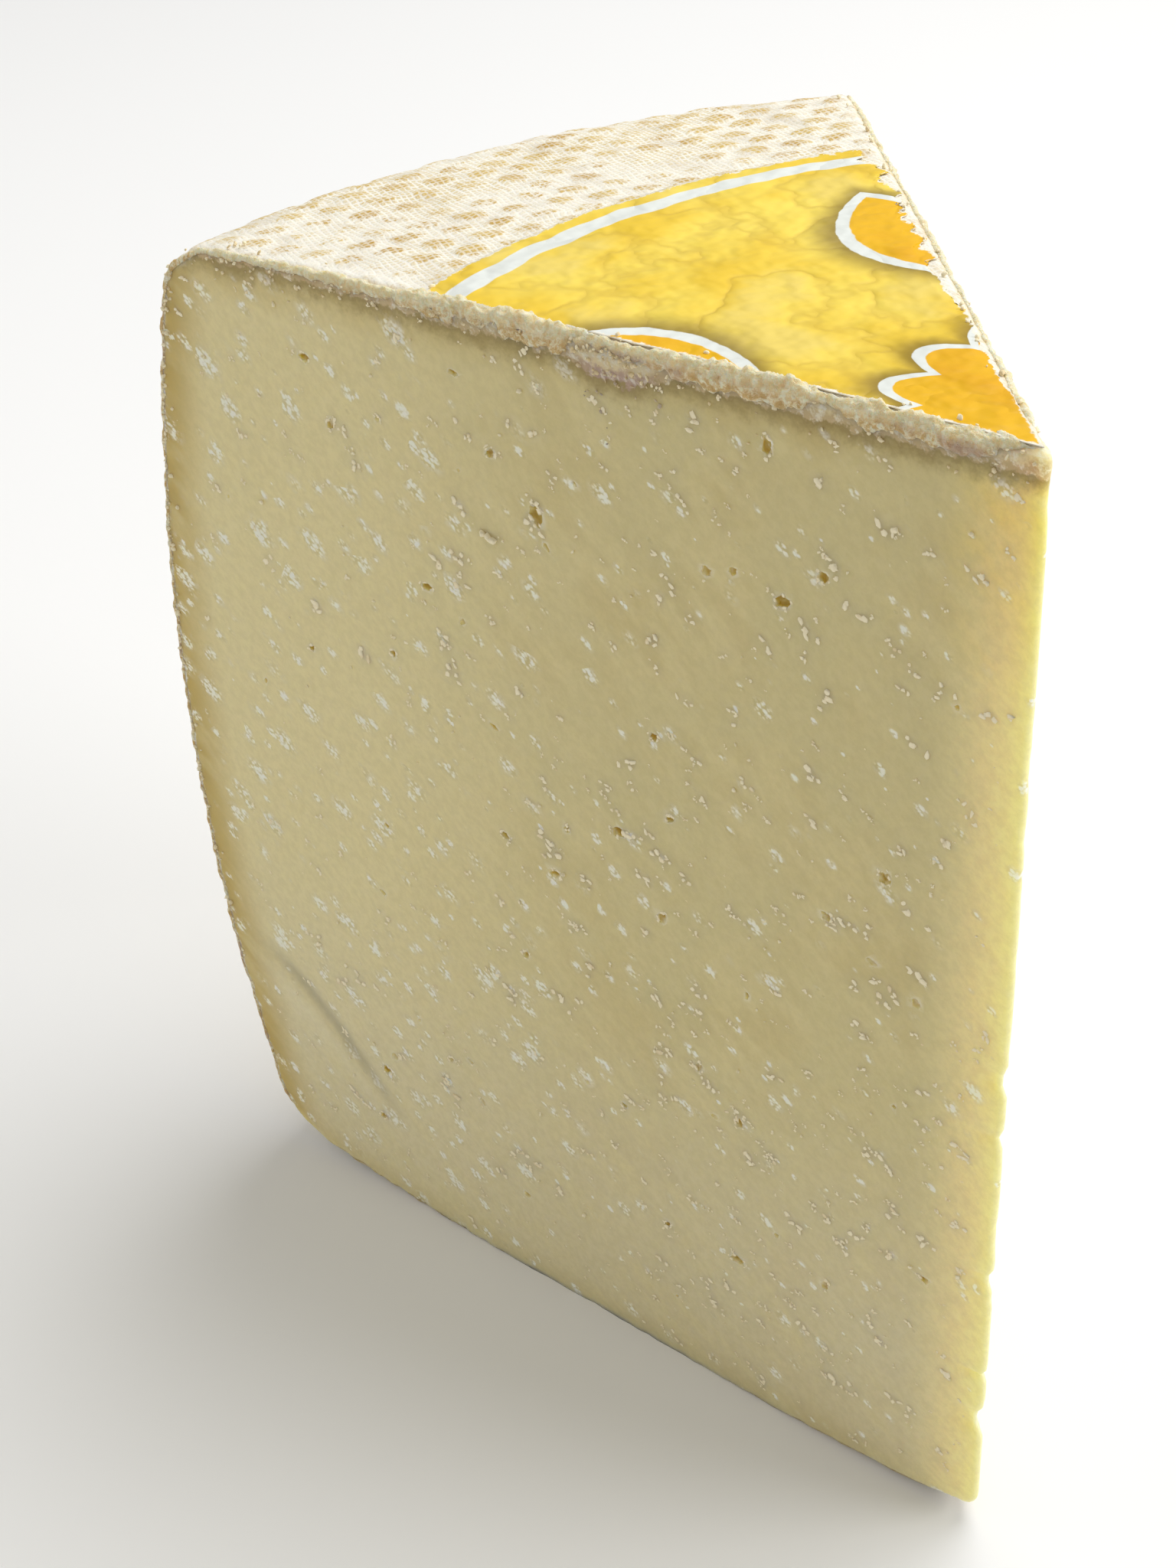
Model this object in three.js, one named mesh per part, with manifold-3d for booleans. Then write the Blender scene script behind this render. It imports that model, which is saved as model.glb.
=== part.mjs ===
// Cantal: an upright wedge cut from a tall pressed-cheese wheel, with the paper label still on its top.
// Millimetres, +Z up. The wheel's axis runs along the wedge's tip edge. The tip points to +X, the rim to -X,
// and the two cut faces stand at equal angles on either side of the X axis, the front one towards -Y.

import * as THREE from "three";
import { mergeVertices } from "three/addons/utils/BufferGeometryUtils.js";
import Module from "manifold-3d";

const wasm = await Module();
wasm.setup();

const DEGREE = Math.PI / 180;

// The wheel: a barrel with slightly domed ends and round shoulders.
const WHEEL_HEIGHT = 250;
const BELLY_RADIUS = 210;
const BELLY_BULGE = 17.5;
const SHOULDER = 14;
const TOP_DOME = 3;
const BASE_DOME = 13.5;
const DOME_POWER = 2.5;
const RIM_RADIUS = BELLY_RADIUS - BELLY_BULGE;

// The wedge: about an eighth of the wheel, leaning back on its domed underside, which is pressed flat there.
const HALF_ANGLE = 24.5 * DEGREE;
const LEAN = 4 * DEGREE;
const FOOT_HEIGHT = 2.6;
const TIP_ROUNDING = 1;

// The label: a paper disc laid a little off the wheel's centre and cut through with the cheese.
const LABEL_RADIUS = 134;
const LABEL_CENTRE = new THREE.Vector2(-3.5, 19.8);
const LABEL_SETBACK = 2.6;
const LABEL_THICKNESS = 0.3;
const LABEL_GAP = 0.3;

// How finely the round shapes are divided.
const TURN_STEP = 2.5 * DEGREE;
const WHEEL_SEGMENTS = Math.round((2 * Math.PI) / TURN_STEP);
const DOME_STEPS = 12;
const SHOULDER_STEPS = 6;
const SIDE_STEPS = 14;
const TIP_STEPS = 4;
const CLEARANCE = 40;

// The largest eyes of the front face, as [distance from the tip, height, width, tallness].
const FRONT_EYES = [
  [104, 211, 3.2, 5.6],
  [50, 209, 4.2, 3.4],
  [53, 238, 2.6, 4.4],
  [88, 145, 4.4, 2.8],
  [28, 158, 3.0, 3.8],
  [78, 128, 2.8, 3.2],
  [159, 230, 3.4, 2.6],
  [154, 217, 2.4, 3.0],
  [105, 128, 3.6, 2.4],
  [61, 42, 4.6, 3.0],
  [39, 47, 2.2, 3.6],
  [133, 187, 3.4, 2.2],
];
const SMALL_EYES = 16;
const SMALL_EYE_SIZE = [1.6, 3.4];
const EYE_MARGIN = 18;
const EYE_DEPTH = 0.9;
const EYE_SEED = 20;

// Chips out of the tip edge, as [height, tallness, depth].
const TIP_CHIPS = [
  [121, 6, 1.1],
  [107, 4, 0.9],
  [69, 5, 1.0],
  [42, 4, 1.2],
  [28, 9, 1.6],
];

// Torn places where the rind broke away along the top of the cuts, as [side, distance from the tip, width].
const RIND_TEARS = [
  [-1, 84, 16],
  [-1, 136, 9],
  [-1, 40, 8],
  [1, 62, 12],
  [1, 118, 14],
];
const TEAR_HEIGHT = 4.5;
const TEAR_DEPTH = 0.8;

const PASTE_COLOR = 0xd8c98f;
const PAPER_COLOR = 0xf0cf62;

// A repeatable stream of numbers from 0 to 1.
function seededRandom(seed) {
  let state = seed >>> 0;
  return () => {
    state = (Math.imul(state, 1664525) + 1013904223) >>> 0;
    return state / 2 ** 32;
  };
}

// A closed three.js geometry as a solid: shared corners merged, flat triangles at the poles dropped.
function toSolid(geometry) {
  const bare = new THREE.BufferGeometry();
  bare.setAttribute("position", geometry.getAttribute("position"));
  bare.setIndex(geometry.getIndex());
  const merged = mergeVertices(bare, 1e-4);
  const corners = merged.getIndex().array;
  const kept = [];
  for (let i = 0; i < corners.length; i += 3) {
    const [a, b, c] = [corners[i], corners[i + 1], corners[i + 2]];
    if (a !== b && b !== c && c !== a) {
      kept.push(a, b, c);
    }
  }
  const mesh = new wasm.Mesh({
    numProp: 3,
    vertProperties: new Float32Array(merged.getAttribute("position").array),
    triVerts: new Uint32Array(kept),
  });
  return new wasm.Manifold(mesh);
}

function toGeometry(solid) {
  const mesh = solid.getMesh();
  const geometry = new THREE.BufferGeometry();
  geometry.setAttribute("position", new THREE.BufferAttribute(mesh.vertProperties, 3));
  geometry.setIndex(new THREE.BufferAttribute(mesh.triVerts, 1));
  geometry.computeVertexNormals();
  return geometry;
}

// The barrel side: widest at half height, drawn in towards both ends.
function sideRadius(z) {
  const middle = WHEEL_HEIGHT / 2;
  return BELLY_RADIUS - BELLY_BULGE * ((z - middle) / middle) ** 2;
}

function topHeight(r) {
  return WHEEL_HEIGHT - TOP_DOME * (r / RIM_RADIUS) ** DOME_POWER;
}

function baseHeight(r) {
  return BASE_DOME * (r / RIM_RADIUS) ** DOME_POWER;
}

// Points of one end face, from the axis out to where the shoulder begins.
function domePoints(height) {
  const reach = RIM_RADIUS - SHOULDER;
  return Array.from({ length: DOME_STEPS + 1 }, (_, i) => {
    const r = (reach * i) / DOME_STEPS;
    return new THREE.Vector2(r, height(r));
  });
}

// A shoulder bends from the end face round to the side, with the sharp corner as its control point.
function shoulderPoints(endFace, height, inward) {
  const corner = height(RIM_RADIUS);
  const below = corner + inward * SHOULDER;
  const curve = new THREE.QuadraticBezierCurve(
    endFace,
    new THREE.Vector2(sideRadius(corner), corner),
    new THREE.Vector2(sideRadius(below), below),
  );
  return curve.getPoints(SHOULDER_STEPS).slice(1);
}

// The whole wheel, turned from a profile that runs from the foot of the axis round to its head.
function wheel() {
  const base = domePoints(baseHeight);
  const top = domePoints(topHeight);
  const lower = shoulderPoints(base.at(-1), baseHeight, 1);
  const upper = shoulderPoints(top.at(-1), topHeight, -1);
  const [from, to] = [lower.at(-1).y, upper.at(-1).y];
  const side = Array.from({ length: SIDE_STEPS - 1 }, (_, i) => {
    const z = from + ((to - from) * (i + 1)) / SIDE_STEPS;
    return new THREE.Vector2(sideRadius(z), z);
  });
  const profile = [...base, ...lower, ...side, ...upper.reverse(), ...top.reverse()];
  return toSolid(new THREE.LatheGeometry(profile, WHEEL_SEGMENTS).rotateX(Math.PI / 2));
}

// A point given by its distance from the tip and its angle from the wedge's middle line.
function polar(r, angle) {
  return new THREE.Vector2(-r * Math.cos(angle), r * Math.sin(angle));
}

function prism(outline) {
  const geometry = new THREE.ExtrudeGeometry(outline, {
    depth: WHEEL_HEIGHT + 2 * CLEARANCE,
    bevelEnabled: false,
    curveSegments: Math.max(TIP_STEPS, Math.round((2 * HALF_ANGLE) / TURN_STEP)),
  });
  return toSolid(geometry.translate(0, 0, -CLEARANCE));
}

// The two knife cuts, which meet in a slightly rounded tip edge.
function wedge() {
  const far = BELLY_RADIUS + CLEARANCE;
  const touch = TIP_ROUNDING / Math.tan(HALF_ANGLE);
  const nose = TIP_ROUNDING / Math.sin(HALF_ANGLE);
  const start = polar(touch, -HALF_ANGLE);
  const frontEnd = polar(far, -HALF_ANGLE);
  const backEnd = polar(far, HALF_ANGLE);
  const swing = Math.PI / 2 - HALF_ANGLE;
  const outline = new THREE.Shape();
  outline.moveTo(start.x, start.y);
  outline.absarc(-nose, 0, TIP_ROUNDING, -swing, swing, false);
  outline.lineTo(backEnd.x, backEnd.y);
  outline.lineTo(-far, 0);
  outline.lineTo(frontEnd.x, frontEnd.y);
  outline.closePath();
  return prism(outline);
}

// A lump to be cut away: a squashed ball on a cut face, its length, depth and height given.
function hollow(r, z, side, length, depth, height, turn) {
  const ball = new THREE.IcosahedronGeometry(1, 1);
  ball.scale(length / 2, depth, height / 2);
  ball.rotateY(turn);
  ball.rotateZ(-side * HALF_ANGLE);
  const place = polar(r, side * HALF_ANGLE);
  return toSolid(ball.translate(place.x, place.y, z));
}

// Small round holes left by gas in the curd: the photographed ones in front, scattered ones on both cuts.
function eyes() {
  const random = seededRandom(EYE_SEED);
  const between = (low, high) => low + (high - low) * random();
  const placed = FRONT_EYES.map(([r, z, width, tallness]) =>
    hollow(r, z, -1, width, EYE_DEPTH * width, tallness, between(-0.5, 0.5)),
  );
  for (const side of [-1, 1]) {
    for (let i = 0; i < SMALL_EYES; i += 1) {
      const r = between(EYE_MARGIN, RIM_RADIUS - EYE_MARGIN);
      const z = between(BASE_DOME + EYE_MARGIN, WHEEL_HEIGHT - EYE_MARGIN);
      const [width, tallness] = [between(...SMALL_EYE_SIZE), between(...SMALL_EYE_SIZE)];
      placed.push(hollow(r, z, side, width, EYE_DEPTH * width, tallness, between(-1, 1)));
    }
  }
  return placed;
}

// The tip edge is brittle: bits have broken out of it on the way down.
function tipChips() {
  return TIP_CHIPS.map(([z, tallness, depth]) => hollow(0, z, 0, 2 * depth + 2, 3, tallness, 0));
}

function rindTears() {
  return RIND_TEARS.map(([side, r, width]) =>
    hollow(r, topHeight(r) - 0.2 * TEAR_HEIGHT, side, width, TEAR_DEPTH, TEAR_HEIGHT, 0),
  );
}

// Leans the wedge back on its underside and lifts it, so that the pressed flat comes to z = 0.
function leanBack(geometry) {
  return geometry.rotateY(-LEAN).translate(0, 0, FOOT_HEIGHT);
}

function cheeseGeometry() {
  let solid = wheel().intersect(wedge());
  for (const lump of [...eyes(), ...tipChips(), ...rindTears()]) {
    solid = solid.subtract(lump);
  }
  const leaned = toSolid(leanBack(toGeometry(solid)));
  const span = 4 * BELLY_RADIUS;
  const ground = new THREE.BoxGeometry(span, span, CLEARANCE).translate(0, 0, -CLEARANCE / 2);
  return toGeometry(leaned.subtract(toSolid(ground)));
}

// Where a line from a point meets the label's round edge.
function labelEdge(from, direction) {
  const arm = from.clone().sub(LABEL_CENTRE);
  const along = direction.dot(arm);
  const length = Math.sqrt(along ** 2 - arm.lengthSq() + LABEL_RADIUS ** 2) - along;
  return from.clone().addScaledVector(direction, length);
}

// The label's outline: both cuts set back a little, joined by the round edge.
function labelOutline() {
  const tip = new THREE.Vector2(-LABEL_SETBACK / Math.sin(HALF_ANGLE), 0);
  const front = labelEdge(tip, polar(1, -HALF_ANGLE));
  const back = labelEdge(tip, polar(1, HALF_ANGLE));
  const angleOf = (point) => Math.atan2(point.y - LABEL_CENTRE.y, point.x - LABEL_CENTRE.x);
  const outline = new THREE.Shape();
  outline.moveTo(tip.x, tip.y);
  outline.lineTo(back.x, back.y);
  const { x, y } = LABEL_CENTRE;
  outline.absarc(x, y, LABEL_RADIUS, angleOf(back), angleOf(front) + 2 * Math.PI, false);
  outline.closePath();
  return outline;
}

// The label is a thin skin that follows the top face just above it, trimmed to its outline.
function labelGeometry() {
  const lower = domePoints((r) => topHeight(r) + LABEL_GAP);
  const upper = domePoints((r) => topHeight(r) + LABEL_GAP + LABEL_THICKNESS);
  const profile = [...lower, ...upper.reverse()];
  const skin = toSolid(new THREE.LatheGeometry(profile, WHEEL_SEGMENTS).rotateX(Math.PI / 2));
  return leanBack(toGeometry(skin.intersect(prism(labelOutline()))));
}

function piece(name, geometry, color, roughness) {
  const material = new THREE.MeshStandardMaterial({ color, roughness, metalness: 0 });
  const mesh = new THREE.Mesh(geometry, material);
  mesh.name = name;
  return mesh;
}

const cheese = piece("cheese", cheeseGeometry(), PASTE_COLOR, 0.6);
const label = piece("label", labelGeometry(), PAPER_COLOR, 0.5);

// The origin is under the middle of the wedge's box, on the surface that it stands on.
const cantal = new THREE.Group();
cantal.name = "cantal";
cantal.add(cheese, label);
cheese.geometry.computeBoundingBox();
const middle = cheese.geometry.boundingBox.getCenter(new THREE.Vector3());
cantal.position.set(-middle.x, -middle.y, 0);

export default cantal;
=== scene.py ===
# %% [markdown]
# # A wedge of Cantal, dressed for its picture
# The wedge is about an eighth of a tall pressed-cheese wheel. It stands on its own rind, shows a wide smooth cut
# face and still wears a piece of the round paper label. The CAD model gives its size and place. This lesson makes
# the skin that the eye reads: floury rind, waxy paste with eyes and torn curd, printed paper and crumbs.

import bmesh
import bpy
import numpy as np
from mathutils import Matrix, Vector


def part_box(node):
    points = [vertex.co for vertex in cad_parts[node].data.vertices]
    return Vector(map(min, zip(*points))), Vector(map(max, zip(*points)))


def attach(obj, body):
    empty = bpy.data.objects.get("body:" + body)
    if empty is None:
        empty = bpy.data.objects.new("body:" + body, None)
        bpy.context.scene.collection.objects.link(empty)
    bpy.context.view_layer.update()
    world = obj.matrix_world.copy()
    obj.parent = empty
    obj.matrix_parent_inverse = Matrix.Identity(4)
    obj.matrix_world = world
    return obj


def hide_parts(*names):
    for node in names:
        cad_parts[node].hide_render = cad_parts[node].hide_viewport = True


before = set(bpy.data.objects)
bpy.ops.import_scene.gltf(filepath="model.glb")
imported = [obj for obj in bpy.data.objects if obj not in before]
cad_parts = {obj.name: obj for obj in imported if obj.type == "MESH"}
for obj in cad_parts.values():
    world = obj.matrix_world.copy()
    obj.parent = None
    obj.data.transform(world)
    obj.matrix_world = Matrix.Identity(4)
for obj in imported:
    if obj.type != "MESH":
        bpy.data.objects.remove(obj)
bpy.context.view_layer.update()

# %% [markdown]
# ## The sizes that drive everything
# A wheel is easiest to think of in its own frame: the axis runs up the tip edge, x goes out to the rim, z goes up,
# all in millimetres. The finished wedge leans back a little on its domed underside, so one function carries wheel
# points to the part's frame in metres. The CAD box tells where the foot of the tip is.

# %% Driving sizes and the way from the wheel to the part
MM = 0.001
WHEEL_HEIGHT = 250.0
BELLY_RADIUS = 210.0
BELLY_BULGE = 17.5
RIM_RADIUS = BELLY_RADIUS - BELLY_BULGE
SHOULDER = 14.0
SHOULDER_ARC = 12.0
TOP_DOME = 3.0
BASE_DOME = 13.5
DOME_POWER = 2.5
HALF_ANGLE = np.radians(24.5)
LEAN = np.radians(4.0)
FOOT_HEIGHT = 2.6
TIP_ROUNDING = 1.0
TIP_SETBACK = TIP_ROUNDING / np.sin(HALF_ANGLE) - TIP_ROUNDING
SIN_A, COS_A = np.sin(HALF_ANGLE), np.cos(HALF_ANGLE)
AXIS_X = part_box("cheese")[1][0] + TIP_SETBACK * np.cos(LEAN) * MM


def points_of(x, y, z):
    """Points from their three coordinates, each of them a number or an array."""
    return np.stack(np.broadcast_arrays(x, y, z), axis=-1)


def to_part(points):
    """Wheel millimetres to part metres: turn by the lean about Y, lift on to the flat, shift to the CAD's tip."""
    x, y, z = np.moveaxis(np.asarray(points, float), -1, 0)
    out = -x * np.cos(LEAN) - z * np.sin(LEAN)
    up = -x * np.sin(LEAN) + z * np.cos(LEAN) + FOOT_HEIGHT
    return points_of(out * MM + AXIS_X, y * MM, np.maximum(up, 0.0) * MM)


def to_wheel(points):
    """Part metres back to wheel millimetres: the same steps undone in turn."""
    out, y, up = np.moveaxis(np.asarray(points, float), -1, 0) / MM
    out, up = out - AXIS_X / MM, up - FOOT_HEIGHT
    x = -out * np.cos(LEAN) - up * np.sin(LEAN)
    return points_of(x, y, up * np.cos(LEAN) - out * np.sin(LEAN))


print("foot of the wheel's axis at x =", round(AXIS_X, 4), "m")

# %% [markdown]
# ## The camera
# The picture was taken by hand, close, from above the tip. The camera's place and turn are given from the foot of
# the tip, and its focal length in pixels of the 1536 by 2048 picture, whose long side spans the sensor.

# %% Camera
IMAGE_HEIGHT = 2048
FOCAL_PIXELS = 3076.0
SENSOR = 36.0
CAMERA_PLACE = np.array([0.2251, -0.2141, 0.4341])
CAMERA_AZIMUTH = np.radians(61.53)
CAMERA_ELEVATION = np.radians(37.77)
CAMERA_ROLL = np.radians(-0.89)


def camera_axes(azimuth, elevation, roll):
    """Right, up and back of a camera that looks at the part from that side, then rolls about its view line."""
    level = np.cos(elevation)
    back = np.array([np.sin(azimuth) * level, -np.cos(azimuth) * level, np.sin(elevation)])
    right = np.cross([0.0, 0.0, 1.0], back)
    right /= np.linalg.norm(right)
    up = np.cross(back, right)
    return right * np.cos(roll) + up * np.sin(roll), up * np.cos(roll) - right * np.sin(roll), back


def put_in(name, data):
    """A new object of the scene that shows some data."""
    thing = bpy.data.objects.new(name, data)
    bpy.context.collection.objects.link(thing)
    return thing


def point_at(thing, spot, axes):
    """Put a camera or lamp at a spot, turned to those axes."""
    turn = Matrix(np.stack(axes, axis=1).tolist())
    thing.matrix_world = Matrix.Translation(np.asarray(spot).tolist()) @ turn.to_4x4()


lens = bpy.data.cameras.new("photo_camera")
lens.sensor_width = SENSOR
lens.lens = FOCAL_PIXELS * SENSOR / IMAGE_HEIGHT
lens.clip_start = 0.01
camera = put_in("photo_camera", lens)
camera_spot = CAMERA_PLACE + [AXIS_X, 0.0, 0.0]
point_at(camera, camera_spot, camera_axes(CAMERA_AZIMUTH, CAMERA_ELEVATION, CAMERA_ROLL))
bpy.context.scene.camera = camera
print("lens", round(lens.lens, 2), "mm, camera at", camera_spot.round(3))

# %% [markdown]
# ## Smooth random relief
# Food is uneven at every size. A lattice of random values, blended smoothly between its corners, gives a bump of
# one size, and a few of them at halving sizes give lumps with crumbs on them. Hashing whole numbers keeps it the
# same on every run. Further on, each relief is named by its cell in millimetres and its seed.

# %% Noise on arrays of points
HASH = np.array([73856093, 19349663, 83492791])
SEED_STEP = 2654435761
STIR = 1274126177


def bumps(points, cell, seed):
    """Random height from -1 to 1: values hashed on a cubic lattice of that cell, blended by 3t^2 - 2t^3."""
    place = np.asarray(points, float) / cell
    corner = np.floor(place).astype(np.int64)
    part = place - corner
    part = part * part * (3 - 2 * part)
    total = np.zeros(place.shape[:-1])
    for step in np.ndindex(2, 2, 2):
        key = (corner + step) * HASH
        key = key[..., 0] ^ key[..., 1] ^ key[..., 2] ^ (seed * SEED_STEP)
        key = (key ^ (key >> 13)) * STIR
        value = ((key ^ (key >> 16)) & 0xFFFF) / 32767.5 - 1
        total += value * np.prod(np.where(step, part, 1 - part), axis=-1)
    return total


def rough(points, cell, seed, layers=3):
    """Sum of bumps whose cell and height halve with each layer."""
    return sum(bumps(points, cell / 2**i, seed + i) / 2**i for i in range(layers))


def ease(value, low, high):
    """0 below low, 1 above high (or the other way round), and 3t^2 - 2t^3 between."""
    t = np.clip((value - low) / (high - low), 0, 1)
    return t * t * (3 - 2 * t)


print("noise ready:", bumps(np.zeros((1, 3)) + 0.3, 1.0, 4).round(3))

# %% [markdown]
# ## The wheel's profile
# A pressed wheel is a barrel: nearly flat ends, a belly, and shoulders that the press left round. Its half profile
# is three curves that meet in the middle of the shoulders: the top, the side and the base. Cutting the profile
# there lets one set of rows serve the rind and the cut faces alike, so that their edges share points.

# %% Profile curves
END_ROW_COUNTS = (0, 8, 52, 128)
END_ROW_PLACES = (0.0, 6.0, 120.0)
SIDE_ROWS = 138
SIDE_CROWDING = 0.45
CURVE_POINTS = 200
HALF_SHOULDER = 30


def side_radius(z):
    """Barrel side: the belly's radius less a parabola of height."""
    middle = WHEEL_HEIGHT / 2
    return BELLY_RADIUS - BELLY_BULGE * ((z - middle) / middle) ** 2


def top_height(r):
    """Top face: the wheel's height less a power of the radius."""
    return WHEEL_HEIGHT - TOP_DOME * (r / RIM_RADIUS) ** DOME_POWER


def base_height(r):
    """Underside: a power of the radius, rising to the rim."""
    return BASE_DOME * (r / RIM_RADIUS) ** DOME_POWER


def crowded(count, strength):
    """Steps from 0 to 1 that crowd at both ends: u - k sin(2 pi u) / (2 pi)."""
    u = np.linspace(0, 1, count + 1)
    return u - strength * np.sin(2 * np.pi * u) / (2 * np.pi)


def along(curve, shares):
    """Points of a polyline at those shares of its length."""
    length = np.r_[0, np.cumsum(np.hypot(*np.diff(curve, axis=0).T))]
    return np.stack([np.interp(shares * length[-1], length, curve[:, i]) for i in (0, 1)], axis=-1)


def shoulder(height, inward):
    """Quadratic curve from the end face to the side, with the sharp corner as its control point."""
    start_r = RIM_RADIUS - SHOULDER
    corner = height(RIM_RADIUS)
    below = corner + inward * SHOULDER
    t = np.linspace(0, 1, 2 * HALF_SHOULDER + 1)[:, None]
    start = np.array([start_r, height(start_r)])
    middle = np.array([side_radius(corner), corner])
    end = np.array([side_radius(below), below])
    return (1 - t) ** 2 * start + 2 * t * (1 - t) * middle + t * t * end


def end_curve(height, inward):
    """End face from the axis out to the middle of its shoulder, in rows that are finer at the tip and the rim."""
    r = np.linspace(0, RIM_RADIUS - SHOULDER, CURVE_POINTS)
    curve = np.vstack([np.c_[r, height(r)], shoulder(height, inward)[1:HALF_SHOULDER + 1]])
    length = np.hypot(*np.diff(curve, axis=0).T).sum()
    rows = np.arange(END_ROW_COUNTS[-1] + 1)
    return along(curve, np.interp(rows, END_ROW_COUNTS, (*END_ROW_PLACES, length)) / length)


upper, lower = shoulder(top_height, -1)[HALF_SHOULDER:], shoulder(base_height, 1)[HALF_SHOULDER:]
side_z = np.linspace(upper[-1, 1], lower[-1, 1], CURVE_POINTS)
side_curve = np.vstack([upper, np.c_[side_radius(side_z), side_z][1:-1], lower[::-1]])
TOP = end_curve(top_height, -1)
BASE = end_curve(base_height, 1)
SIDE = along(side_curve, crowded(SIDE_ROWS, SIDE_CROWDING))
print("profile rows: top", len(TOP), "side", len(SIDE), "base", len(BASE))

# %% [markdown]
# ## Depth under the rind and inside the cuts
# Rounding, relief and colour all ask the same two questions of a point: how deep is it under the wheel's skin, and
# how far is it inside the nearest knife cut? Both are small formulas, so no distance search is needed.

# %% Depth fields
EDGE_ROUNDING = 1.3
LIP_ROUNDING = 2.8
LIP_REACH = (9.0, 2.0)


def corner_depth(a, b, radius):
    """Depth inside two faces whose corner is an arc: the lesser depth, or the arc's own depth near the corner."""
    inside = (a < radius) & (b < radius)
    return np.where(inside, radius - np.hypot(radius - a, radius - b), np.minimum(a, b))


def rind_depth(r, z):
    """Depth under the wheel's skin: least of the depths under the top, the side and the base."""
    r = np.abs(r)
    rim = side_radius(z) - r
    top = corner_depth(top_height(r) - z, rim, SHOULDER_ARC)
    return np.minimum(top, corner_depth(z - base_height(r), rim, SHOULDER_ARC))


def rind_outward(r, z, step=0.5):
    """Direction out of the skin in the (r, z) half plane: the falling slope of the depth."""
    slope_r = rind_depth(r - step, z) - rind_depth(r + step, z)
    slope_z = rind_depth(r, z - step) - rind_depth(r, z + step)
    size = np.maximum(np.hypot(slope_r, slope_z), 1e-9)
    return slope_r / size, slope_z / size


def plan(r, phi):
    """Plan of a point: r (cos, sin), but inside the tip's rounding each row is a chord of the rounding circle."""
    touch = TIP_ROUNDING / np.tan(HALF_ANGLE)
    swing = np.clip(r / touch, 0, 1) * (np.pi / 2 - HALF_ANGLE)
    nose_x = TIP_ROUNDING / SIN_A - TIP_ROUNDING * np.cos(swing)
    nose_y = TIP_ROUNDING * np.sin(swing) * phi / HALF_ANGLE
    return np.where(r < touch, nose_x, r * np.cos(phi)), np.where(r < touch, nose_y, r * np.sin(phi))


print("depth at the wedge's middle:", rind_depth(np.array([100.0]), np.array([125.0])).round(1), "mm")

# %% [markdown]
# ## Marks on the cut faces
# The wire left the paste gently wavy. Low on the front a crease runs where the cut changed its line. Along the top
# the dry rind stands proud of the softer paste as a rough lip, and the brittle tip edge is nibbled and chipped.

# %% Crease and chips
CREASE_FROM = np.array([202.0, 74.0])
CREASE_TO = np.array([150.0, 29.0])
CREASE_WIDTH = 3.2
CREASE_DEPTH = 1.1
CREASE_STEP = 0.6
CREASE_SWAY = 1.6
SHADE_PLACES = (0.0, -1.0, 3.6)
LIGHT_SIDE = 0.55
TIP_CHIPS = [(121, 6, 1.1), (107, 4, 0.9), (69, 5, 1.0), (42, 4, 1.2), (28, 9, 1.6)]


def crease(r, z):
    """Soft groove along a line, step to the corner beyond it, and shade: dark above the line, light below it. All
    are bells or ramps of the way beside the line, and fade towards the line's ends."""
    run = CREASE_TO - CREASE_FROM
    span = np.hypot(*run)
    share = ((r - CREASE_FROM[0]) * run[0] + (z - CREASE_FROM[1]) * run[1]) / span**2
    beside = ((z - CREASE_FROM[1]) * run[0] - (r - CREASE_FROM[0]) * run[1]) / span
    beside = beside + CREASE_SWAY * np.sin(5.0 * share)
    fade = ease(share, 0.0, 0.3) * ease(share, 1.0, 0.55)
    groove, above, below = (np.exp(-(((beside - at) / CREASE_WIDTH) ** 2)) for at in SHADE_PLACES)
    step = ease(beside, 0, 14) * ease(beside, 60, 14)
    return fade * groove, fade * step, fade * (above - LIGHT_SIDE * below)


def chipped(z):
    """1 in the middle of each chip out of the tip edge, falling to 0 at its ends, times the chip's depth."""
    place, tallness, depth = np.array(TIP_CHIPS, float).T
    share = np.abs(z[..., None] - place) / (0.5 * tallness)
    return (depth * ease(share, 1.0, 0.35)).sum(axis=-1)


print("crease at its middle:", np.round(crease(*np.array([[176.0], [51.5]])), 2).ravel())

# %% [markdown]
# ## Height of the cut faces
# The whole relief of a cut face is a sum: slow waves, fine grain, fuzz near the skin, the lip, the crease and the
# facets of the chips. The tip edge itself does not rise or sink. It gives way towards the rim.

# %% Cut relief
FACES_APART = 40.0
WAVE_HEIGHT = 0.35
GRAIN_HEIGHT = 0.05
FUZZ_HEIGHT = 0.3
FUZZ_REACH = (5.5, 1.0)
LIP_PROUD = 0.35
LIP_HEIGHT = 4.6
FOOT_ARC = 6.0
HEAD_ARC = 2.0
NIBBLE = 0.6
FACET = 0.6
FACET_REACH = (11, 4)
TIP_CALM = (1.5, 9)
TIP_GIVES = 18.0
CHIP_GIVES = 6.0


def cut_relief(r, z, side):
    """Height of a cut face over its plane, outwards: waves, lip under the top rind, crease and chipped tip."""
    point = points_of(r, z, FACES_APART * side)
    wave = WAVE_HEIGHT * bumps(point, 46, 11) + GRAIN_HEIGHT * rough(point, 6, 12)
    lip = ease(top_height(r) - z, LIP_HEIGHT, 0.5)
    fuzz = ease(rind_depth(r, z), *FUZZ_REACH) * FUZZ_HEIGHT * rough(point, 3.2, 13)
    proud = lip * LIP_PROUD * (0.8 + 0.5 * bumps(point, 9, 14))
    groove, step, _ = crease(r, z)
    front = np.where(side < 0, -CREASE_DEPTH * groove - CREASE_STEP * step, 0)
    facet = -FACET * chipped(z) * np.minimum(0.35 * r, 1) * ease(r, *FACET_REACH)
    return (wave + proud + fuzz + front) * ease(r, *TIP_CALM) + facet


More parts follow.
